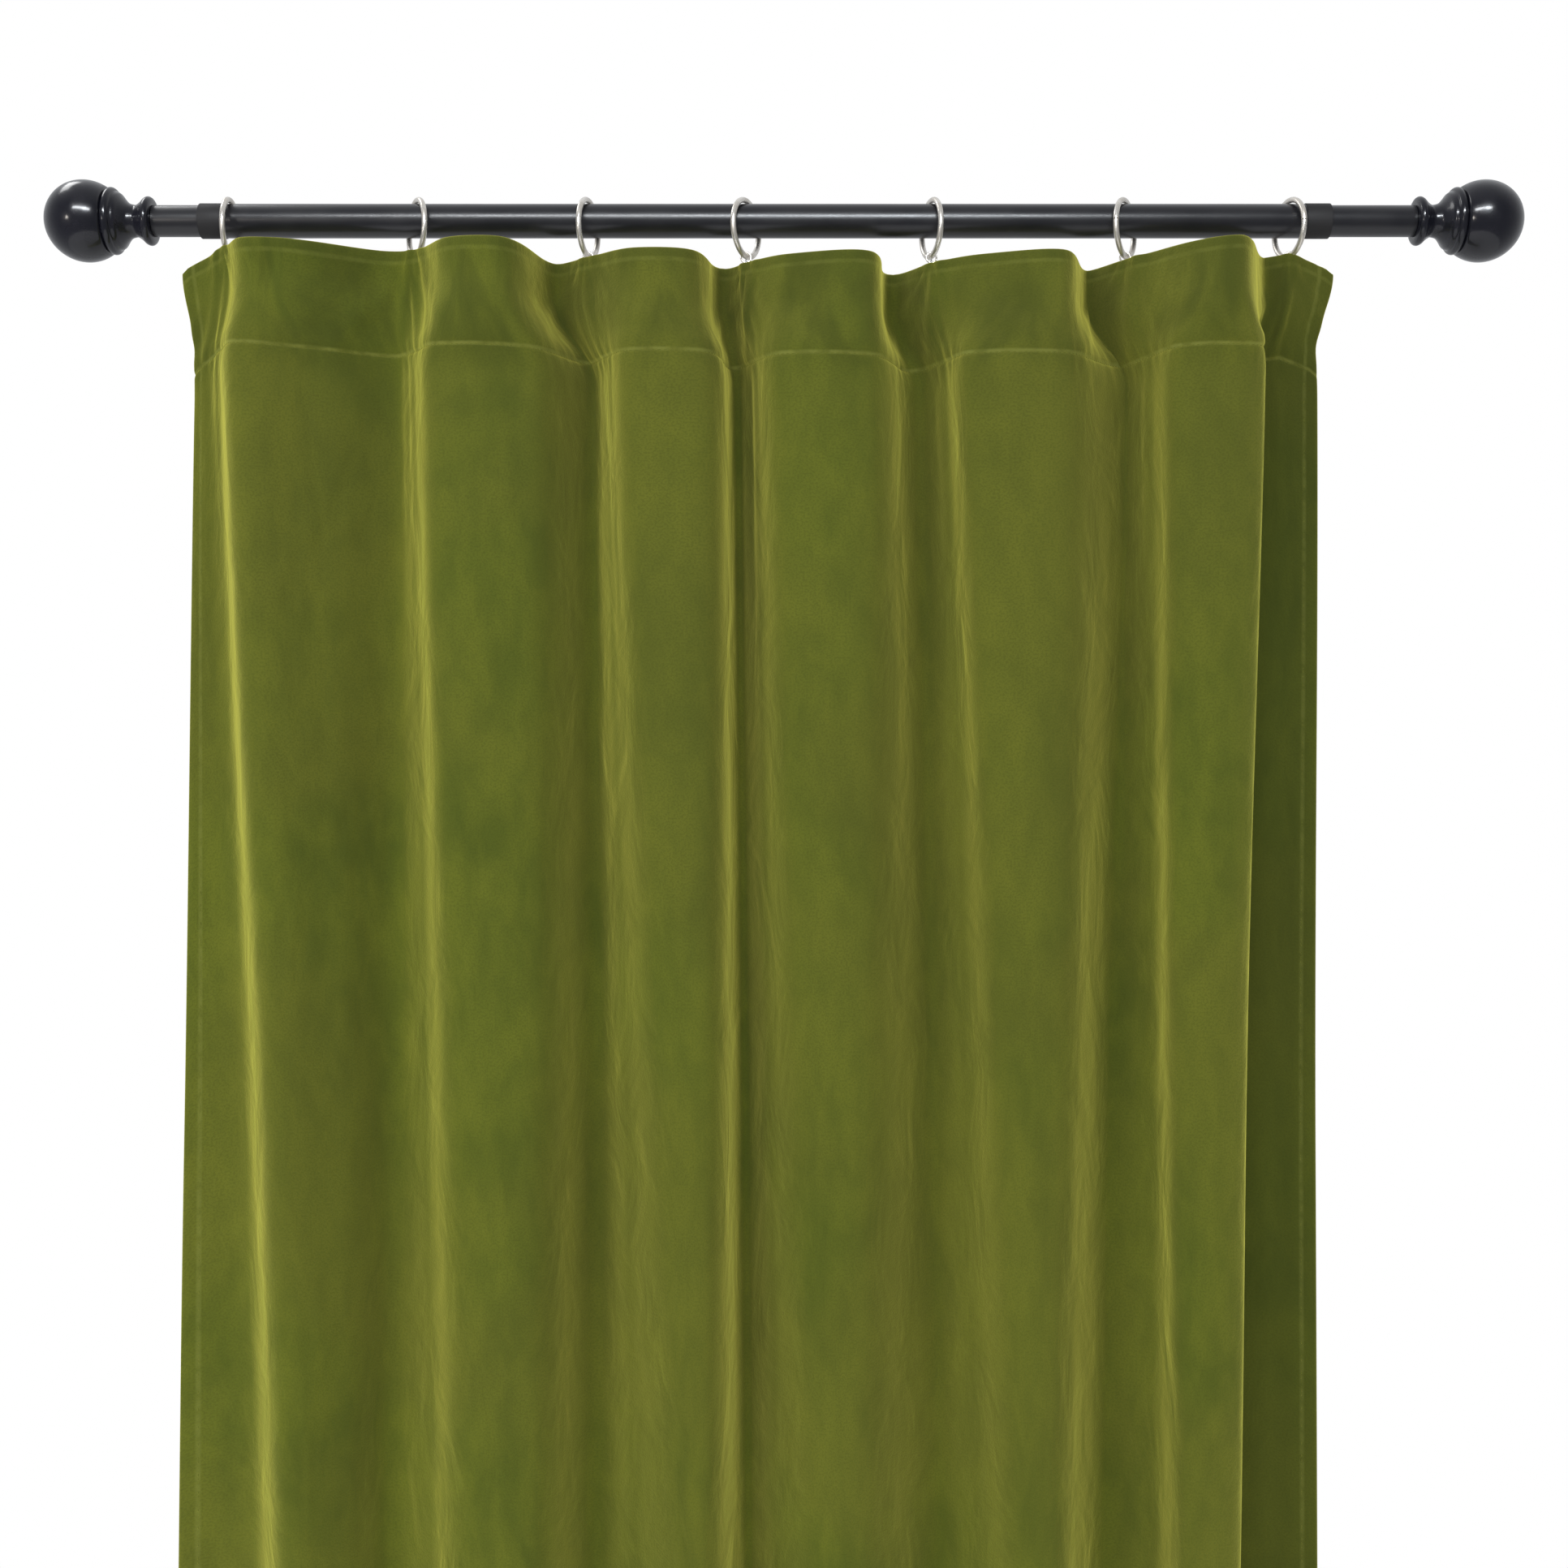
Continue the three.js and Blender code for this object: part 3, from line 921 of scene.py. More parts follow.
FOLDS = (
    Fold((Bend(0.15, 0.037), Bend(0.37, 0.040), Bend(0.82, 0.005)),
         (Bend(-0.06, 0.004, 0.030), Bend(0.105, 0.041, 0.045), Bend(0.52, 0.020, 0.02),
          Bend(0.885, -0.008, -0.012)),
         -0.0240, 0.009),
    Fold((Bend(0.26, 0.053), Bend(0.58, 0.058), Bend(0.79, -0.012)),
         (Bend(-0.008, 0.012, 0.015), Bend(0.15, 0.046, 0.031), Bend(0.72, 0.042, 0.0),
          Bend(1.02, -0.010, 0.0)),
         -0.0262, 0.007),
    Fold((Bend(0.31, 0.043), Bend(0.67, 0.042), Bend(0.85, -0.008)),
         (Bend(0.141, 0.014, 0.024), Bend(0.283, 0.048, 0.049), Bend(0.79, 0.046, 0.0),
          Bend(0.94, -0.013, 0.009)),
         -0.0312, 0.003),
    Fold((Bend(0.24, 0.034), Bend(0.645, 0.045), Bend(0.79, -0.021)),
         (Bend(0.056, 0.012, 0.020), Bend(0.188, 0.043, 0.036), Bend(0.65, 0.043, 0.0),
          Bend(0.93, -0.014, 0.022)),
         -0.0337, 0.0),
    Fold((Bend(0.25, 0.034), Bend(0.65, 0.046), Bend(0.82, -0.021)),
         (Bend(0.07, 0.010, 0.035), Bend(0.168, 0.047, 0.051), Bend(0.67, 0.045, -0.004),
          Bend(1.02, -0.014, -0.02)),
         -0.0343, 0.0),
    Fold((Bend(0.33, 0.060), Bend(0.60, 0.070), Bend(0.83, 0.002)),
         (Bend(0.123, 0.010, 0.010), Bend(0.223, 0.053, 0.014), Bend(0.745, 0.050, -0.02),
          Bend(0.715, -0.010, -0.015)),
         -0.0315, 0.0),
)


@dataclass
class Drape:
    """The cloth's middle surface as a function of its own flat coordinates.

    t runs across the cloth from 0 to 1 through its bends, and v runs down it in metres. Seen from above,
    each row is a smooth curve through its bends. Those move from the heading's to the body's over the
    heading band, and drift with depth. Each row's folds are then made deeper or shallower until the row
    is as long as the flat cloth is wide. Beyond the hooks the body has three bends of its own, each given
    as its distance from the left edge, the last hook or the right edge, how far out it is, and its drift.
    """

    width: float
    length: float
    hooks: np.ndarray
    left: float
    right: float
    pin_out: float = 7.6 * MM
    heading_depth: float = 76 * MM
    stiff_to: float = 30 * MM
    soft_from: float = 93 * MM
    edge_soft_from: float = 58 * MM
    lean_depth: float = 16 * MM
    corner_height: float = -0.0385
    last_height: float = -0.0270
    sag: float = 0.0016
    corner_drop: float = 0.0022
    swing: float = 0.016
    drift_span: float = 1.3
    left_bend: tuple[float, float, float] = (0.0075, -0.006, -0.024)
    last_bend: tuple[float, float, float] = (-0.006, -0.014, 0.0)
    right_bend: tuple[float, float, float] = (-0.0116, -0.006, 0.006)
    measured_at: float = 0.45
    rows: np.ndarray = field(init=False)
    depths: np.ndarray = field(init=False)

    def __post_init__(self) -> None:
        """Collects the bends and finds how deep each row's folds are."""
        heading, body = [(self.left, 0.0)], [(self.left + self.left_bend[0], *self.left_bend[1:])]
        height, lean = [self.corner_height], [0.0]
        spans = zip(FOLDS, self.hooks[:-1], self.hooks[1:])
        for fold, start, end in spans:
            span = end - start
            heading.append((start, self.pin_out))
            heading += [(start + b.reach * span, b.out) for b in fold.heading]
            body += [(start + b.reach * span, b.out, b.drift) for b in fold.body]
            height.append(fold.height)
            lean.append(fold.lean)
        heading += [(self.hooks[-1], self.pin_out), (self.right, 0.0)]
        body += [(self.hooks[-1] + self.last_bend[0], *self.last_bend[1:]),
                 (self.right + self.right_bend[0], *self.right_bend[1:])]
        height += [self.last_height, self.corner_height]
        lean += [0.0, 0.0]
        self.heading, self.body = np.array(heading), np.array(body)
        self.hook_index = np.array([0, *range(1, 4 * len(FOLDS) + 2, 4), len(heading) - 1], float)
        self.height, self.lean = np.array(height), np.array(lean)
        self.bends = len(heading)
        self.hook_t = self.hook_index[1:-1] / (self.bends - 1)
        self.rows = np.concatenate([np.linspace(0, 0.2, 21), np.linspace(0.25, self.length, 40)])
        self.depths = np.ones(len(self.rows))
        self.depths = self.solve_depths()
        self.arc_t = np.linspace(0, 1, 2001)
        middle = self.plan(self.arc_t, np.array([self.measured_at]))[0]
        steps = np.linalg.norm(np.diff(middle, axis=0), axis=1)
        self.arc = np.concatenate([[0], np.cumsum(steps)]) * self.width / steps.sum()

    def plan(self, t: np.ndarray, v: np.ndarray, depths: np.ndarray | None = None) -> np.ndarray:
        """Rows of the cloth seen from above.

        Each is a cubic Hermite curve. Its direction at a bend is that from the bend before to the one
        after, and each piece's speed is the distance between its two bends.

        Args:
            t: places across, (c,).
            v: places down, (r,).
            depths: depth of each row's folds, or None for the solved ones.

        Returns:
            x and y of each place, (r, c, 2).
        """
        if depths is None:
            depths = np.interp(v, self.rows, self.depths)
        soft = np.repeat(smoothstep(self.stiff_to, self.soft_from, v)[:, None], self.bends, axis=1)
        soft[:, [0, -1]] = smoothstep(0, self.edge_soft_from, v)[:, None]
        down = self.drift_span * np.tanh(np.maximum(v - self.soft_from, 0) / self.drift_span)
        x = (1 - soft) * self.heading[:, 0] + soft * (self.body[:, 0] + self.body[:, 2] * down[:, None])
        out = (1 - soft) * self.heading[:, 1] + soft * self.body[:, 1]
        bend = np.stack([x, -out * depths[:, None]], axis=-1)
        gap = np.linalg.norm(np.diff(bend, axis=1), axis=2, keepdims=True)
        ahead = np.empty_like(bend)
        ahead[:, 1:-1] = (bend[:, 2:] - bend[:, :-2]) / (gap[:, 1:] + gap[:, :-1])
        ahead[:, 0] = (bend[:, 1] - bend[:, 0]) / gap[:, 0]
        ahead[:, -1] = (bend[:, -1] - bend[:, -2]) / gap[:, -1]
        along = np.clip(t, 0, 1) * (self.bends - 1)
        piece = np.minimum(along.astype(int), self.bends - 2)
        share, speed = (along - piece)[None, :, None], gap[:, piece]
        return hermite(share, bend[:, piece], bend[:, piece + 1], speed * ahead[:, piece],
                       speed * ahead[:, piece + 1])

    def solve_depths(self) -> np.ndarray:
        """Halves an interval of depths until each row is as long as the flat cloth is wide."""
        t = np.linspace(0, 1, 12 * self.bends)
        low, high = np.full(len(self.rows), 0.4), np.full(len(self.rows), 2.2)
        for _ in range(18):
            middle = (low + high) / 2
            row = self.plan(t, self.rows, middle)
            long = np.linalg.norm(np.diff(row, axis=1), axis=2).sum(axis=1) > self.width
            low, high = np.where(long, low, middle), np.where(long, middle, high)
        return (low + high) / 2

    def across(self, t: np.ndarray) -> np.ndarray:
        """Distance across the flat cloth of each t, in metres."""
        return np.interp(t, self.arc_t, self.arc)

    def t_at(self, distance: np.ndarray) -> np.ndarray:
        """The t of each distance across the flat cloth."""
        return np.interp(distance, self.arc, self.arc_t)

    def relief(self, s: np.ndarray, v: np.ndarray) -> np.ndarray:
        """Small unevenness along the cloth's own normal, positive towards the room.

        It is the sum of what each hook pulls in, the dip and pucker of the stitch line, and broad soft
        waves. Their directions, sizes and phases come from one seed.

        Args:
            s: distances across, (r, c).
            v: distances down, (r, c).

        Returns:
            Relief in metres, (r, c).
        """
        draw = np.random.default_rng(11)
        relief = np.zeros(np.broadcast(s, v).shape)
        for place in self.across(self.hook_t):
            relief += self.gather(s - place, v, draw)
        for _ in range(9):
            across, down, size = draw.uniform(18, 70), draw.uniform(-9, 9), draw.uniform(0.3, 0.6)
            relief += size * MM * np.sin(across * s + down * v + draw.uniform(0, 6.28))
        above = v - self.heading_depth
        uneven = 0.75 + 0.25 * np.sin(47 * s + 1.3) + 0.2 * np.sin(131 * s)
        pucker = np.sin(2 * np.pi * s / 0.0125 + 2.2 * np.sin(29 * s)) * uneven
        relief += 0.00026 * pucker * (bell(above, 0.010) + 0.35 * bell(above + 0.006, 0.022))
        groove = 0.0010 * bell(above, 0.0017) - 0.0006 * bell(above + 0.008, 0.006)
        return relief - groove * (1 + 0.25 * pucker)

    @staticmethod
    def gather(away: np.ndarray, v: np.ndarray, draw: np.random.Generator) -> np.ndarray:
        """What one hook pulls in.

        Short nicks fan out from it at the top edge: a sine of the direction from the hook. Soft tucks
        run from it down to the stitch line, each a hump across a sloping line. Long drag lines leave
        it at a flatter slope, and a few streaks go on below the stitching and fade out.

        Args:
            away: distance across from the hook, (r, c).
            v: distances down, (r, c).
            draw: where the sizes come from.

        Returns:
            Relief in metres, (r, c).
        """
        root = v + 0.005
        reach = np.hypot(away, root)
        turn = np.arctan2(away, root)
        nicks = np.sin(draw.uniform(9, 13) * turn + draw.uniform(0, 6.28)) + 0.6 * np.sin(21 * turn)
        relief = 0.00075 * nicks * bell(reach - 0.012, 0.012) * smoothstep(-0.001, 0.006, v)
        for _ in range(3):
            slope, start = draw.uniform(-0.30, 0.30), draw.uniform(-0.009, 0.012)
            line = away - start - slope * v
            length = 1 - smoothstep(0.050, 0.085, v)
            relief += draw.uniform(0.7, 1.5) * MM * bell(line, draw.uniform(0.0030, 0.0052)) * length
        for way in (-1, 1):
            slope, start = way * draw.uniform(0.75, 1.5), way * draw.uniform(0.006, 0.018)
            line = (away - start - slope * (v - 0.016)) / (1 + abs(slope))
            along = bell(v - draw.uniform(0.040, 0.056), 0.026)
            relief += draw.uniform(1.3, 2.2) * MM * bell(line, 0.0042) * along
        for _ in range(3):
            start, width = draw.uniform(-0.030, 0.026), draw.uniform(0.0035, 0.0065)
            fade = smoothstep(0.070, 0.095, v) * (1 - smoothstep(0.13, draw.uniform(0.24, 0.42), v))
            relief += draw.uniform(-0.9, 0.9) * MM * bell(away - start - 0.02 * (v - 0.08), width) * fade
        return relief

    def surface(self, t: np.ndarray, v: np.ndarray) -> np.ndarray:
        """Places of the middle surface before any turned edge.

        Args:
            t: places across, (c,).
            v: places down, (r,).

        Returns:
            Points, (r, c, 3).
        """
        plan = self.plan(t, v)
        index = t * (self.bends - 1)
        top = np.interp(index, self.hook_index, self.height)
        sag_line = np.abs(np.sin(np.pi * np.interp(index, self.hook_index, np.arange(len(self.hook_index)))))
        top = top - self.sag * sag_line * ((index > 1) & (index < self.bends - 2))
        from_corner = np.minimum(self.across(t), self.width - self.across(t))
        top = top - self.corner_drop * bell(from_corner, 0.0035)
        lean = np.interp(index, self.hook_index, self.lean)
        forward = lean[None] * bell(v[:, None], self.lean_depth)
        back = self.swing * smoothstep(self.heading_depth, self.heading_depth + 0.6, v)[:, None]
        y = plan[..., 1] - forward + back
        z = np.broadcast_to(top[None] - v[:, None], y.shape)
        return np.stack([plan[..., 0], y, z], axis=-1)

    @staticmethod
    def normals(points: np.ndarray) -> np.ndarray:
        """Unit normals of a grid towards the room: the cross product of its two directions."""
        across, down = np.gradient(points, axis=1), np.gradient(points, axis=0)
        normal = np.cross(down, across)
        return normal / np.linalg.norm(normal, axis=2, keepdims=True)


class Layer(Enum):
    """Which way a layer of the cloth lies; the value is how it comes round the edge's roll."""

    FACE = -1
    TURNED = 1


@dataclass
class Curtain:
    """The panel: face cloth, turned heading, hems, and their stitching."""

    wardrobe: Wardrobe
    cut_width: float = 1.270
    cloth: float = 1.6 * MM
    roll: float = 1.05 * MM
    side_hem: float = 13 * MM
    heading_depth: float = 76 * MM
    bottom_hem: float = 102 * MM
    stitch_pitch: float = 3.4 * MM
    thread: float = 0.28 * MM
    stitch_inset: float = 3 * MM
    column_gap: float = 4.3 * MM
    hook_column_gap: float = 3.2 * MM
    hook_reach: float = 24 * MM
    fine_rows_to: float = 0.2
    least_gap: float = 0.4 * MM
    least_edge_gap: float = 0.1 * MM
    seam_end: float = 6 * MM
    joint_name: str = "curtain_draw"

    def __post_init__(self) -> None:
        """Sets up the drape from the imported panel's box and the hooks' places."""
        low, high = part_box("curtain_panel")
        hooks = np.array([sum(box_of(f"hook_{n}"))[0] / 2 for n in range(1, RING_COUNT + 1)])
        self.width = self.cut_width - 2 * self.side_hem
        self.length = float(high[2] - low[2])
        self.drape = Drape(self.width, self.length, hooks, float(low[0]), float(high[0]))
        joint = next(j for j in frame["record"]["behaviour"]["joints"] if j["name"] == self.joint_name)
        reach = float(hooks[-1] - hooks[0])
        self.gathered = (reach + joint["range_m"][0]) / reach
        self.anchor = (float(hooks[0]), 0.0, float(high[2]))

    def edge_steps(self) -> np.ndarray:
        """Distances from an edge that round its roll evenly: roll (1 - cos a)."""
        return self.roll * (1 - np.cos(np.radians([0, 30, 60, 90])))

    def columns(self, start: float, end: float) -> np.ndarray:
        """Distances across between two places, closer together beside the hooks and at the edges."""
        edge = self.edge_steps()
        fine = 0.5
        middle = np.arange(edge[-1], self.width - edge[-1], fine * MM)
        hooks = self.drape.across(self.drape.hook_t)
        near = np.max([bell(middle - place, self.hook_reach) for place in hooks], axis=0)
        density = MM / self.column_gap + near * MM / self.hook_column_gap
        count = np.concatenate([[0], np.cumsum((density[1:] + density[:-1]) / 2 * fine)])
        even = np.interp(np.arange(0, count[-1], 1.0), count, middle)
        whole = np.concatenate([edge[:-1], even, self.width - edge[::-1]])
        return self.between(whole, start, end, self.width)

    def row_places(self, start: float, end: float) -> np.ndarray:
        """Distances down between two places, closest at the stitch line and closer in the heading."""
        edge = self.edge_steps()
        stitch = self.heading_depth + MM * np.array([-4, -2.6, -1.6, -0.8, 0, 0.8, 1.6, 2.6, 4])
        above = np.arange(4 * MM, 71 * MM, 3.2 * MM)
        below = np.arange(84 * MM, self.fine_rows_to, 5 * MM)
        share = np.linspace(0, 1, 58)[1:]
        hem_top = self.length - self.bottom_hem
        lower = self.fine_rows_to + (hem_top - self.fine_rows_to) * (0.55 * share + 0.45 * share**2)
        hem = hem_top + np.linspace(0, self.bottom_hem - 3 * MM, 8)[1:]
        whole = np.concatenate([edge, above, stitch, below, lower, hem, self.length - edge[::-1]])
        return self.between(whole, start, end, self.length)

    def between(self, whole: np.ndarray, start: float, end: float, full: float) -> np.ndarray:
        """The places of a whole row or column from one place to another, with an edge's roll kept whole.

        Args:
            whole: all the places, in order.
            start: the first place wanted.
            end: the last place wanted.
            full: the cloth's own size that way.

        Returns:
            The places wanted, its two ends among them.
        """
        edge = self.edge_steps()
        inside = whole[(whole > start + self.least_gap) & (whole < end - self.least_gap)]
        if start == 0:
            inside = np.concatenate([edge[1:-1], inside[inside > edge[-2] + self.least_edge_gap]])
        if end == full:
            last = end - edge[-2] - self.least_edge_gap
            inside = np.concatenate([inside[inside < last], end - edge[-2:0:-1]])
        return np.concatenate([[start], inside, [end]])

    def middle(self, s: np.ndarray, v: np.ndarray, layer: Layer) -> np.ndarray:
        """A layer's middle surface.

        At a distance d from the nearest edge it lies behind the drape by r -/+ the root of
        r^2 - (r - d)^2, where r is the roll: the face comes up to the edge and the turned layer
        goes on from it, down the back.

        Args:
            s: distances across, (c,).
            v: distances down, (r,).
            layer: which layer.

        Returns:
            Points, (r, c, 3).
        """
        base = self.drape.surface(self.drape.t_at(s), v)
        normal = self.drape.normals(base)
        across, down = np.meshgrid(s, v)
        edge = np.minimum.reduce([across, self.width - across, down, self.length - down])
        inner = self.roll - np.clip(edge, 0, self.roll)
        behind = self.roll + layer.value * np.sqrt(np.maximum(self.roll**2 - inner**2, 0))
        hem_line = self.side_hem - self.stitch_inset
        uneven = 1 + 0.8 * np.sin(2 * np.pi * down / (13 * MM))
        for distance in (across, self.width - across):
            pull = 0.6 * MM * bell(distance - hem_line, 1.5 * MM) * uneven
            behind = behind + pull * (layer is Layer.FACE)
        relief = self.drape.relief(across, down)
        return base + normal * (relief - behind)[..., None]

    def shell(self, name: str, s: np.ndarray, v: np.ndarray, layer: Layer) -> bpy.types.Object:
        """A closed thin piece of cloth: its middle surface moved both ways by half its thickness.

        Args:
            name: the piece's.
            s: distances across, (c,).
            v: distances down, (r,).
            layer: which layer.

        Returns:
            The piece.
        """
        middle = self.middle(s, v, layer)
        half = self.drape.normals(middle) * self.cloth / 2
        rows, columns = middle.shape[:2]
        points = np.concatenate([(middle + half).reshape(-1, 3), (middle - half).reshape(-1, 3)])
        front = grid_quads(rows, columns, False, False)
        number = np.arange(rows * columns).reshape(rows, columns)
        border = np.concatenate([number[0, :-1], number[:-1, -1], number[-1, :0:-1], number[:0:-1, 0]])
        behind = rows * columns
        rim = np.stack([border, border + behind, np.roll(border, -1) + behind, np.roll(border, -1)], axis=-1)
        faces = np.concatenate([front, front[:, ::-1] + behind, rim]).tolist()
        across, down = np.meshgrid(s, -v)
        uv = np.tile(np.stack([across, down], axis=-1).reshape(-1, 2), (2, 1))
        return make_piece(name, points, faces, self.wardrobe["olive_velvet"], uv, sharp_over=75)

    def stitches(self, name: str, s: np.ndarray, v: np.ndarray, way: Sequence[float]) -> bpy.types.Object:
        """A row of stitches: each a small spindle that lies in the cloth's dip.

        Args:
            name: the piece's.
            s: each stitch's distance across, (n,).
            v: each stitch's distance down, (n,).
            way: unit step of the row in (s, v).

        Returns:
            The piece.
        """
        step = self.stitch_pitch * 0.34

        def on_face(across: np.ndarray, down: np.ndarray) -> np.ndarray:
            """Places just proud of the face, for pairs of distances."""
            order = np.argsort(across if way[0] else down)
            grid_s = across[order] if way[0] else np.array([across[0] - MM, across[0], across[0] + MM])
            grid_v = down[order] if way[1] else np.array([down[0] - MM, down[0], down[0] + MM])
            middle = self.middle(grid_s, grid_v, Layer.FACE)
            raised = middle + self.drape.normals(middle) * (self.cloth / 2 + self.thread * 0.3)
            return raised[1] if way[0] else raised[:, 1]

        start = on_face(s - way[0] * step, v - way[1] * step)
        end = on_face(s + way[0] * step, v + way[1] * step)
        ahead = (end - start) / np.linalg.norm(end - start, axis=1, keepdims=True)
        outward = np.cross(ahead, [0, 0, 1.0]) if way[0] else np.tile([0.0, -1.0, 0.0], (len(s), 1))
        outward /= np.linalg.norm(outward, axis=1, keepdims=True)
        side = np.cross(ahead, outward)
        share = np.array([0.0, 0.22, 0.78, 1.0])
        thick = np.array([0.35, 1.0, 1.0, 0.35]) * self.thread
        angle = np.linspace(0, 2 * np.pi, 6, endpoint=False)
        centre = start[:, None] + (end - start)[:, None] * share[None, :, None]
        turn = angle[None, :, None]
        circle = outward[:, None] * np.cos(turn) + side[:, None] * np.sin(turn)
        points = (centre[:, :, None] + thick[None, :, None, None] * circle[:, None]).reshape(-1, 3)
        rings, sides = len(share), len(angle)
        around = np.arange(sides)
        ends = np.array([around[::-1], (rings - 1) * sides + around])
        number = (np.arange(len(s)) * rings * sides)[:, None, None]
        faces = (grid_quads(rings, sides, False, True) + number).reshape(-1, 4).tolist()
        caps = (ends + number).reshape(-1, sides)
        faces += caps[:, :4].tolist() + caps[:, [0, 3, 4, 5]].tolist()
        uv = np.tile([[0.3, -0.3]], (len(points), 1))
        return make_piece(name, points, faces, self.wardrobe["olive_velvet"], uv, sharp_over=80)

    def hang(self, piece: bpy.types.Object, *nodes: str) -> bpy.types.Object:
        """Puts a piece of cloth on the curtain's body and gives it a mesh of its own."""
        settle(piece, "curtain", "olive_velvet", *nodes)
        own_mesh(piece)
        return piece

    def build(self) -> None:
        width, length = self.width, self.length
        every, down = self.columns(0, width), self.row_places(0, length)
        hem_top = length - self.bottom_hem
        panel = self.hang(self.shell("velvet_panel", every, down, Layer.FACE), "curtain_panel")
        heading = self.shell("heading_turnover", every, self.row_places(0, self.heading_depth), Layer.TURNED)
        bottom = self.shell("bottom_turnover", every, self.row_places(hem_top, length), Layer.TURNED)
        sides_v = self.row_places(self.heading_depth + 0.3 * MM, hem_top - 0.3 * MM)
        left_s, right_s = self.columns(0, self.side_hem), self.columns(width - self.side_hem, width)
        left = self.shell("left_hem_turnover", left_s, sides_v, Layer.TURNED)
        right = self.shell("right_hem_turnover", right_s, sides_v, Layer.TURNED)
        layers = [self.hang(heading, "heading_band"), self.hang(bottom, "bottom_hem"),
                  self.hang(left, "left_side_hem"), self.hang(right, "right_side_hem")]
        row = np.arange(self.seam_end, width - self.seam_end, self.stitch_pitch)
        fill = np.ones_like(row)
        layers.append(self.hang(self.stitches("heading_stitching", row, fill * self.heading_depth, (1, 0))))
        hem_row = np.arange(self.heading_depth + 5 * MM, length - self.seam_end, self.stitch_pitch)
        ones, inset = np.ones_like(hem_row), self.side_hem - self.stitch_inset
        for side, place in ((Side.LEFT, inset), (Side.RIGHT, width - inset)):
            seam = self.stitches(f"{side.word}_hem_stitching", ones * place, hem_row, (0, 1))
            layers.append(self.hang(seam))


# ---------------------------------------------------------------- studio


class Lamp(NamedTuple):
    """A rectangular soft light: its place, the point it faces, its width and height, watts and tint.

    A mirrored one is there for the glossy surfaces alone, any other for the matt ones alone.
    """

    name: str
    place: tuple[float, float, float]
    aim: tuple[float, float, float]
    size: tuple[float, float]
    power: float
    colour: tuple[float, float, float] = (1, 1, 1)
    mirrored: bool = False


PANEL_MIDDLE = (0, 0, -0.8)
ROD_MIDDLE = (0, 0, 0)
LAMPS = (
    Lamp("key", (-2.6, -2.4, 0.3), PANEL_MIDDLE, (1.6, 2.2), 48),
    Lamp("front", (0.0, -4.0, 0.0), PANEL_MIDDLE, (4.0, 3.0), 104),
    Lamp("left", (-3.0, -1.4, 0.0), PANEL_MIDDLE, (2.6, 3.0), 14),
    Lamp("right", (3.0, -1.4, 0.0), PANEL_MIDDLE, (2.6, 3.0), 10),
    Lamp("rear", (0.0, 2.4, 0.9), PANEL_MIDDLE, (2.2, 1.2), 30),
    Lamp("warm_window", (-3.5, -4.4, -0.35), ROD_MIDDLE, (0.55, 0.55), 30, (1, 0.93, 0.85), True),
    Lamp("cool_window", (0.38, -3.4, 1.2), ROD_MIDDLE, (0.5, 0.4), 30, (0.82, 0.92, 1), True),
    Lamp("strip", (-0.2, -2.5, 0.95), ROD_MIDDLE, (2.2, 0.3), 95, (0.94, 0.97, 1), True),
    Lamp("banner", (-1.24, 0.36, 1.2), (-0.53, 0, 0), (0.8, 0.4), 6, (1, 1, 1), True),
)


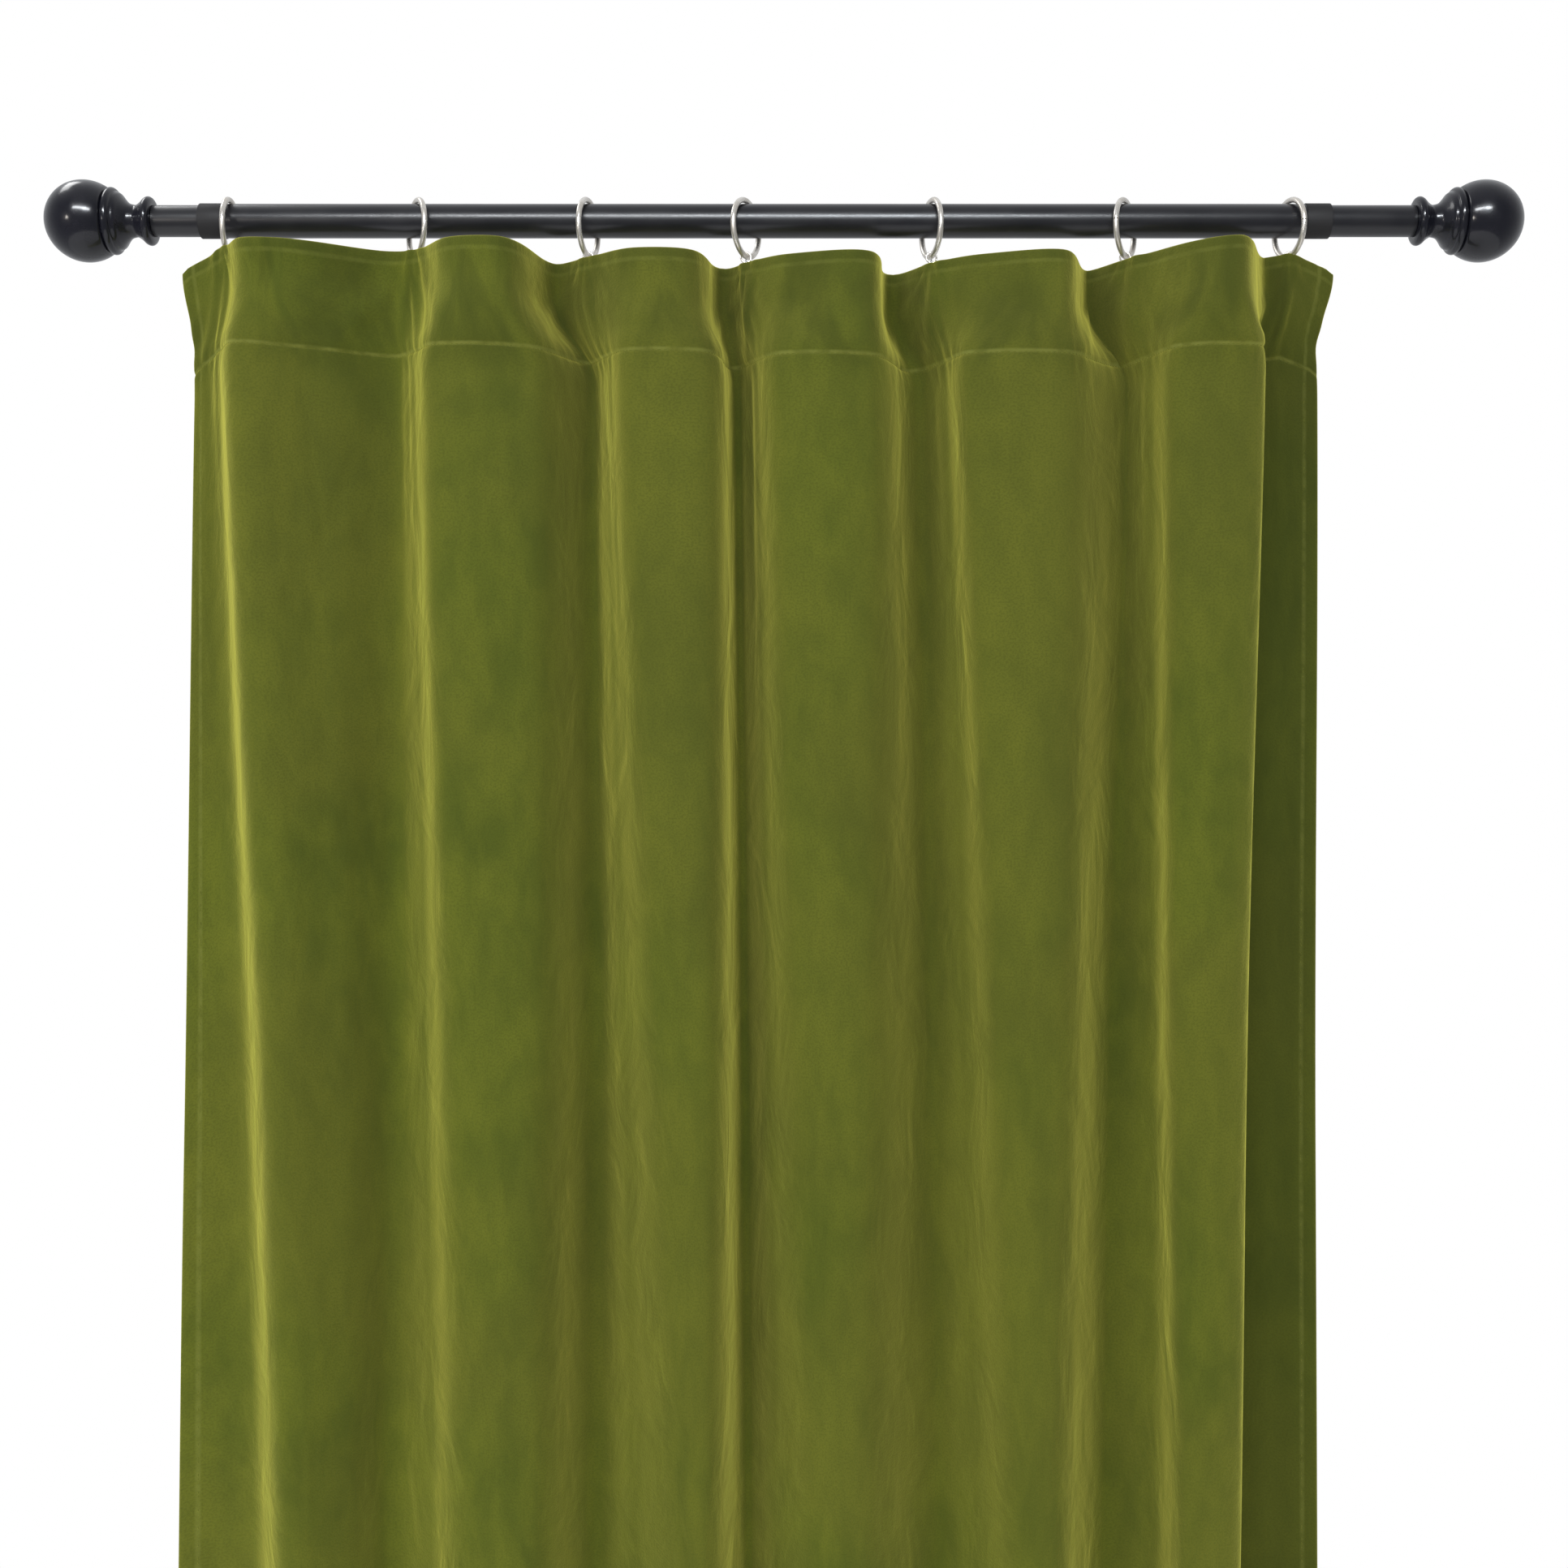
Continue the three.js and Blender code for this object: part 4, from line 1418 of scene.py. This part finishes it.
@dataclass
class Studio:
    """Camera, floor, white surroundings and soft lights."""

    eye: tuple[float, float, float] = (0.0, -1.421, -0.430)
    lens: float = 42.7
    floor_under: float = 0.030
    floor_radius: float = 2.3
    room: float = 0.20
    wall: float = 0.70
    ceiling: float = 0.25

    def camera(self) -> None:
        """A level camera that looks along +Y."""
        data = bpy.data.cameras.new("camera")
        data.lens, data.sensor_width = self.lens, 36.0
        data.clip_start, data.clip_end = 0.05, 60
        camera = bpy.data.objects.new("camera", data)
        camera.location = self.eye
        camera.rotation_euler = (math.pi / 2, 0, 0)
        bpy.context.scene.collection.objects.link(camera)
        bpy.context.scene.camera = camera

    def floor(self) -> None:
        """A plain pale round floor under the curtain."""
        angle = np.linspace(0, 2 * np.pi, 96, endpoint=False)
        level = CAD_LOW[2] - self.floor_under
        points = np.stack([self.floor_radius * np.cos(angle), self.floor_radius * np.sin(angle),
                           np.full(len(angle), level)], axis=-1)
        mesh = bpy.data.meshes.new("floor")
        mesh.from_pydata(points.tolist(), [], [list(range(len(angle)))])
        material = bpy.data.materials.new("floor_paint")
        material.use_nodes = True
        nodes = Nodes(material.node_tree)
        place = nodes.add("ShaderNodeTexCoord").outputs["Object"]
        colour = nodes.mix(nodes.noise(place, 3.0, 3.0), (0.84, 0.84, 0.83, 1), (0.88, 0.88, 0.87, 1))
        shader = nodes.add("ShaderNodeBsdfPrincipled", {"Base Color": colour, "Roughness": 0.8})
        nodes.add("ShaderNodeOutputMaterial", {"Surface": shader.outputs[0]})
        mesh.materials.append(material)
        floor = bpy.data.objects.new("floor", mesh)
        bpy.context.scene.collection.objects.link(floor)

    def world(self) -> None:
        """White where the camera looks past the object. As light it is dim in front and pale behind.

        With y and z of the direction from 0 to 1, it rises from room to wall as y goes from -0.75 to
        0.6, and the ceiling adds its share as z goes from 0.45 to 0.9.
        """
        world = bpy.data.worlds.new("surroundings")
        world.use_nodes = True
        nodes = Nodes(world.node_tree)
        direction = nodes.add("ShaderNodeTexCoord").outputs["Generated"]
        axes = nodes.add("ShaderNodeSeparateXYZ", {0: direction}).outputs
        walls = nodes.range(axes["Y"], -0.75, 0.6, self.room, self.wall)
        above = nodes.range(axes["Z"], 0.45, 0.9, 0.0, self.ceiling)
        power = nodes.reckon("ADD", walls, above)
        seen = nodes.add("ShaderNodeBackground", {"Color": (1, 1, 1, 1), "Strength": 1.0})
        lit = nodes.add("ShaderNodeBackground", {"Color": (0.95, 0.97, 1, 1), "Strength": power})
        path = nodes.add("ShaderNodeLightPath")
        both = nodes.add("ShaderNodeMixShader", {0: path.outputs["Is Camera Ray"], 1: lit.outputs[0],
                                                 2: seen.outputs[0]})
        nodes.add("ShaderNodeOutputWorld", {"Surface": both.outputs[0]})
        bpy.context.scene.world = world
        bpy.context.scene.view_settings.view_transform = "Standard"

    def light(self, lamp: Lamp) -> None:
        """Hangs one lamp and aims it."""
        data = bpy.data.lights.new(lamp.name, "AREA")
        data.shape, data.size, data.size_y = "RECTANGLE", *lamp.size
        data.energy, data.color = lamp.power, lamp.colour
        hung = bpy.data.objects.new(lamp.name, data)
        hung.visible_glossy, hung.visible_diffuse = lamp.mirrored, not lamp.mirrored
        hung.location = lamp.place
        hung.rotation_euler = (Vector(lamp.aim) - Vector(lamp.place)).to_track_quat("-Z", "Y").to_euler()
        bpy.context.scene.collection.objects.link(hung)

    def build(self) -> None:
        """Sets up the whole studio."""
        self.camera()
        self.world()
        self.floor()
        for lamp in LAMPS:
            self.light(lamp)


def main() -> None:
    """Builds the studio, the rod, the rings with their hooks, and the curtain."""
    logging.basicConfig(level=logging.INFO, format="%(name)s: %(message)s")
    Studio().build()
    wardrobe = Wardrobe()
    for sub_assembly in (Rod(wardrobe), Hangers(wardrobe), Curtain(wardrobe)):
        log.info("building %s", type(sub_assembly).__name__)
        sub_assembly.build()


if __name__ == "__main__":
    main()
